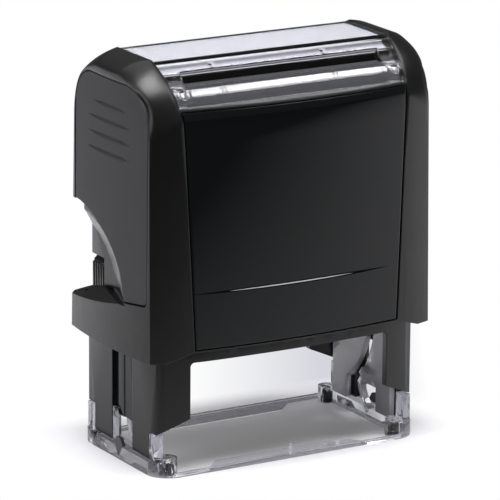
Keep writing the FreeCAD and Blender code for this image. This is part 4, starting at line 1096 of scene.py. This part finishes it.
class STAMP_OT_stage(StampOperator, bpy.types.Operator):
    """Pale floor, soft studio lamps, grey room and the camera"""
    bl_idname = "stamp.stage"
    bl_label = "Stage"

    def execute(self, context):
        lights = context.scene.stamp_lights
        self.floor()
        powers = (lights.key_power, lights.top_power, lights.side_power, lights.back_power)
        for settings, power in zip(LAMPS, powers):
            self.lamp(*settings, power)
        self.room(context, lights.room)
        self.camera(context)
        context.scene.view_settings.view_transform = "Standard"
        return {"FINISHED"}

    def floor(self):
        """Large flat sheet on two parameters, its edge far outside the view."""
        side = np.linspace(-4.0, 4.0, 9)
        mesh = bpy.data.meshes.new("floor")
        mesh.from_pydata([(x, y, 0.0) for x in side for y in side], [],
                         [f[::-1] for f in grid_faces(9, 9).tolist()])
        self.floor_material()
        mesh.materials.append(FINISH["pale_floor"])
        floor = new_object("floor", mesh)

    def floor_material(self):
        """White to the camera, with soft shadows, a painted shadow behind the object and a little
        painted light under it; to other rays a pale sheet with a front painted dark for the
        reflections.
        """
        tree, shader = start_material("pale_floor")
        x, y, _ = axes(tree, spot(tree))
        path = add(tree, "LightPath").outputs
        seen = maths(tree, "MAXIMUM", path["Is Camera Ray"], path["Is Transmission Ray"])
        cloud = noise(tree, 3.0, 3.0)
        pale = mix_colour(tree, cloud, (0.955, 0.95, 0.985), (0.945, 0.94, 0.975))
        # Painted dark reflection: to all but camera and transmitted rays the floor's front is
        # dark, so the glossy faces reflect a dark table
        table = mix_colour(tree, (x * 0.9 + y).ramp(*REFLECTED_DARK_SPAN), (0.04, 0.04, 0.04), pale)
        wire(tree, shader, {"Base Color": mix_colour(tree, seen, table, pale),
                            "Roughness": 0.9, "Specular IOR Level": 0.1})
        # White away from the object: the shadow stays under it and fades beside it. Under it a
        # little of the white glow stays mixed in, painted light that lifts the shadow
        past = [maths(tree, "MAXIMUM", maths(tree, "ABSOLUTE", part) - half, 0.0)
                for part, half in zip((x, y), FOOTPRINT)]
        away = maths(tree, "SQRT", past[0] * past[0] + past[1] * past[1])
        away = maths(tree, "MAXIMUM", away.ramp(0.0, SHADOW_FADE), PAINTED_LIGHT_LEAST)
        # Painted shadow: a soft grey patch in the floor's glow behind the object, which shows
        # between its legs
        aside = x * SHADE_ACROSS[0] - y * SHADE_ACROSS[1]
        shade = (aside.ramp(*SHADE_LEFT) * aside.ramp(*SHADE_RIGHT)
                 * y.ramp(*SHADE_FAR) * y.ramp(*SHADE_NEAR))
        # The floor's glow: white, with the painted shadow's grey behind the object
        white = add(tree, "Emission", {
            "Color": mix_colour(tree, shade, (1.0, 1.0, 1.0), (0.66, 0.665, 0.72))})
        choose_shader(tree, away * seen, shader, white)

    def lamp(self, name, place_at, aim, size, power):
        """Rectangular lamp at a point, turned to face another point."""
        data = bpy.data.lights.new(name, "AREA")
        data.shape = "RECTANGLE"
        data.size, data.size_y = size
        data.energy = power
        lamp = new_object(name, data)
        lamp.location = place_at
        way = Vector(aim) - Vector(place_at)
        lamp.rotation_euler = way.to_track_quat("-Z", "Y").to_euler()

    def room(self, context, strength):
        """Even grey room light."""
        world = context.scene.world = bpy.data.worlds.new("room")
        world.use_nodes = True
        tree = world.node_tree
        seen = add(tree, "LightPath").outputs["Is Camera Ray"]
        grey = mix_colour(tree, seen, (strength,) * 3, (1.0, 1.0, 1.0))
        wire(tree, tree.nodes["Background"], {"Color": grey, "Strength": 1.0})

    def camera(self, context):
        """Long lens from the front left, a little above, turned by a slight roll."""
        yaw, pitch, roll = (math.radians(a) for a in CAMERA_TURN)
        turn = (Matrix.Rotation(-yaw, 4, "Z") @ Matrix.Rotation(math.pi / 2 - pitch, 4, "X")
                @ Matrix.Rotation(roll, 4, "Z"))
        data = bpy.data.cameras.new("camera")
        data.lens = CAMERA_LENS
        camera = new_object("camera", data)
        camera.matrix_world = Matrix.Translation(CAMERA_PLACE) @ turn
        context.scene.camera = camera


OPERATORS = (STAMP_OT_shell, STAMP_OT_inlays, STAMP_OT_panels, STAMP_OT_window,
             STAMP_OT_card, STAMP_OT_frame, STAMP_OT_foot, STAMP_OT_plate,
             STAMP_OT_cartridge, STAMP_OT_springs, STAMP_OT_stage)


class STAMP_PT_panel(bpy.types.Panel):
    """Lists the pieces of the stamp and their settings"""
    bl_idname = "STAMP_PT_panel"
    bl_label = "Self inking stamp"
    bl_space_type = "VIEW_3D"
    bl_region_type = "UI"
    bl_category = "Stamp"

    def draw(self, context):
        layout = self.layout
        for operator in OPERATORS:
            layout.operator(operator.bl_idname)
        for group, kind in SETTINGS:
            box = layout.box()
            for name in kind.__annotations__:
                box.prop(getattr(context.scene, group), name)


SETTINGS = (("stamp_colours", StampColours), ("stamp_sizes", StampSizes),
            ("stamp_lights", StampLights))


def register():
    """Registers the settings, the operators and the panel."""
    for name, group in SETTINGS:
        bpy.utils.register_class(group)
        setattr(bpy.types.Scene, name, bpy.props.PointerProperty(type=group))
    for operator in OPERATORS:
        bpy.utils.register_class(operator)
    bpy.utils.register_class(STAMP_PT_panel)


def unregister():
    """Removes everything that register added."""
    bpy.utils.unregister_class(STAMP_PT_panel)
    for operator in reversed(OPERATORS):
        bpy.utils.unregister_class(operator)
    for name, group in reversed(SETTINGS):
        delattr(bpy.types.Scene, name)
        bpy.utils.unregister_class(group)


def main():
    register()
    for operator in OPERATORS:
        group, name = operator.bl_idname.split(".")
        getattr(getattr(bpy.ops, group), name)()


if __name__ == "__main__":
    main()
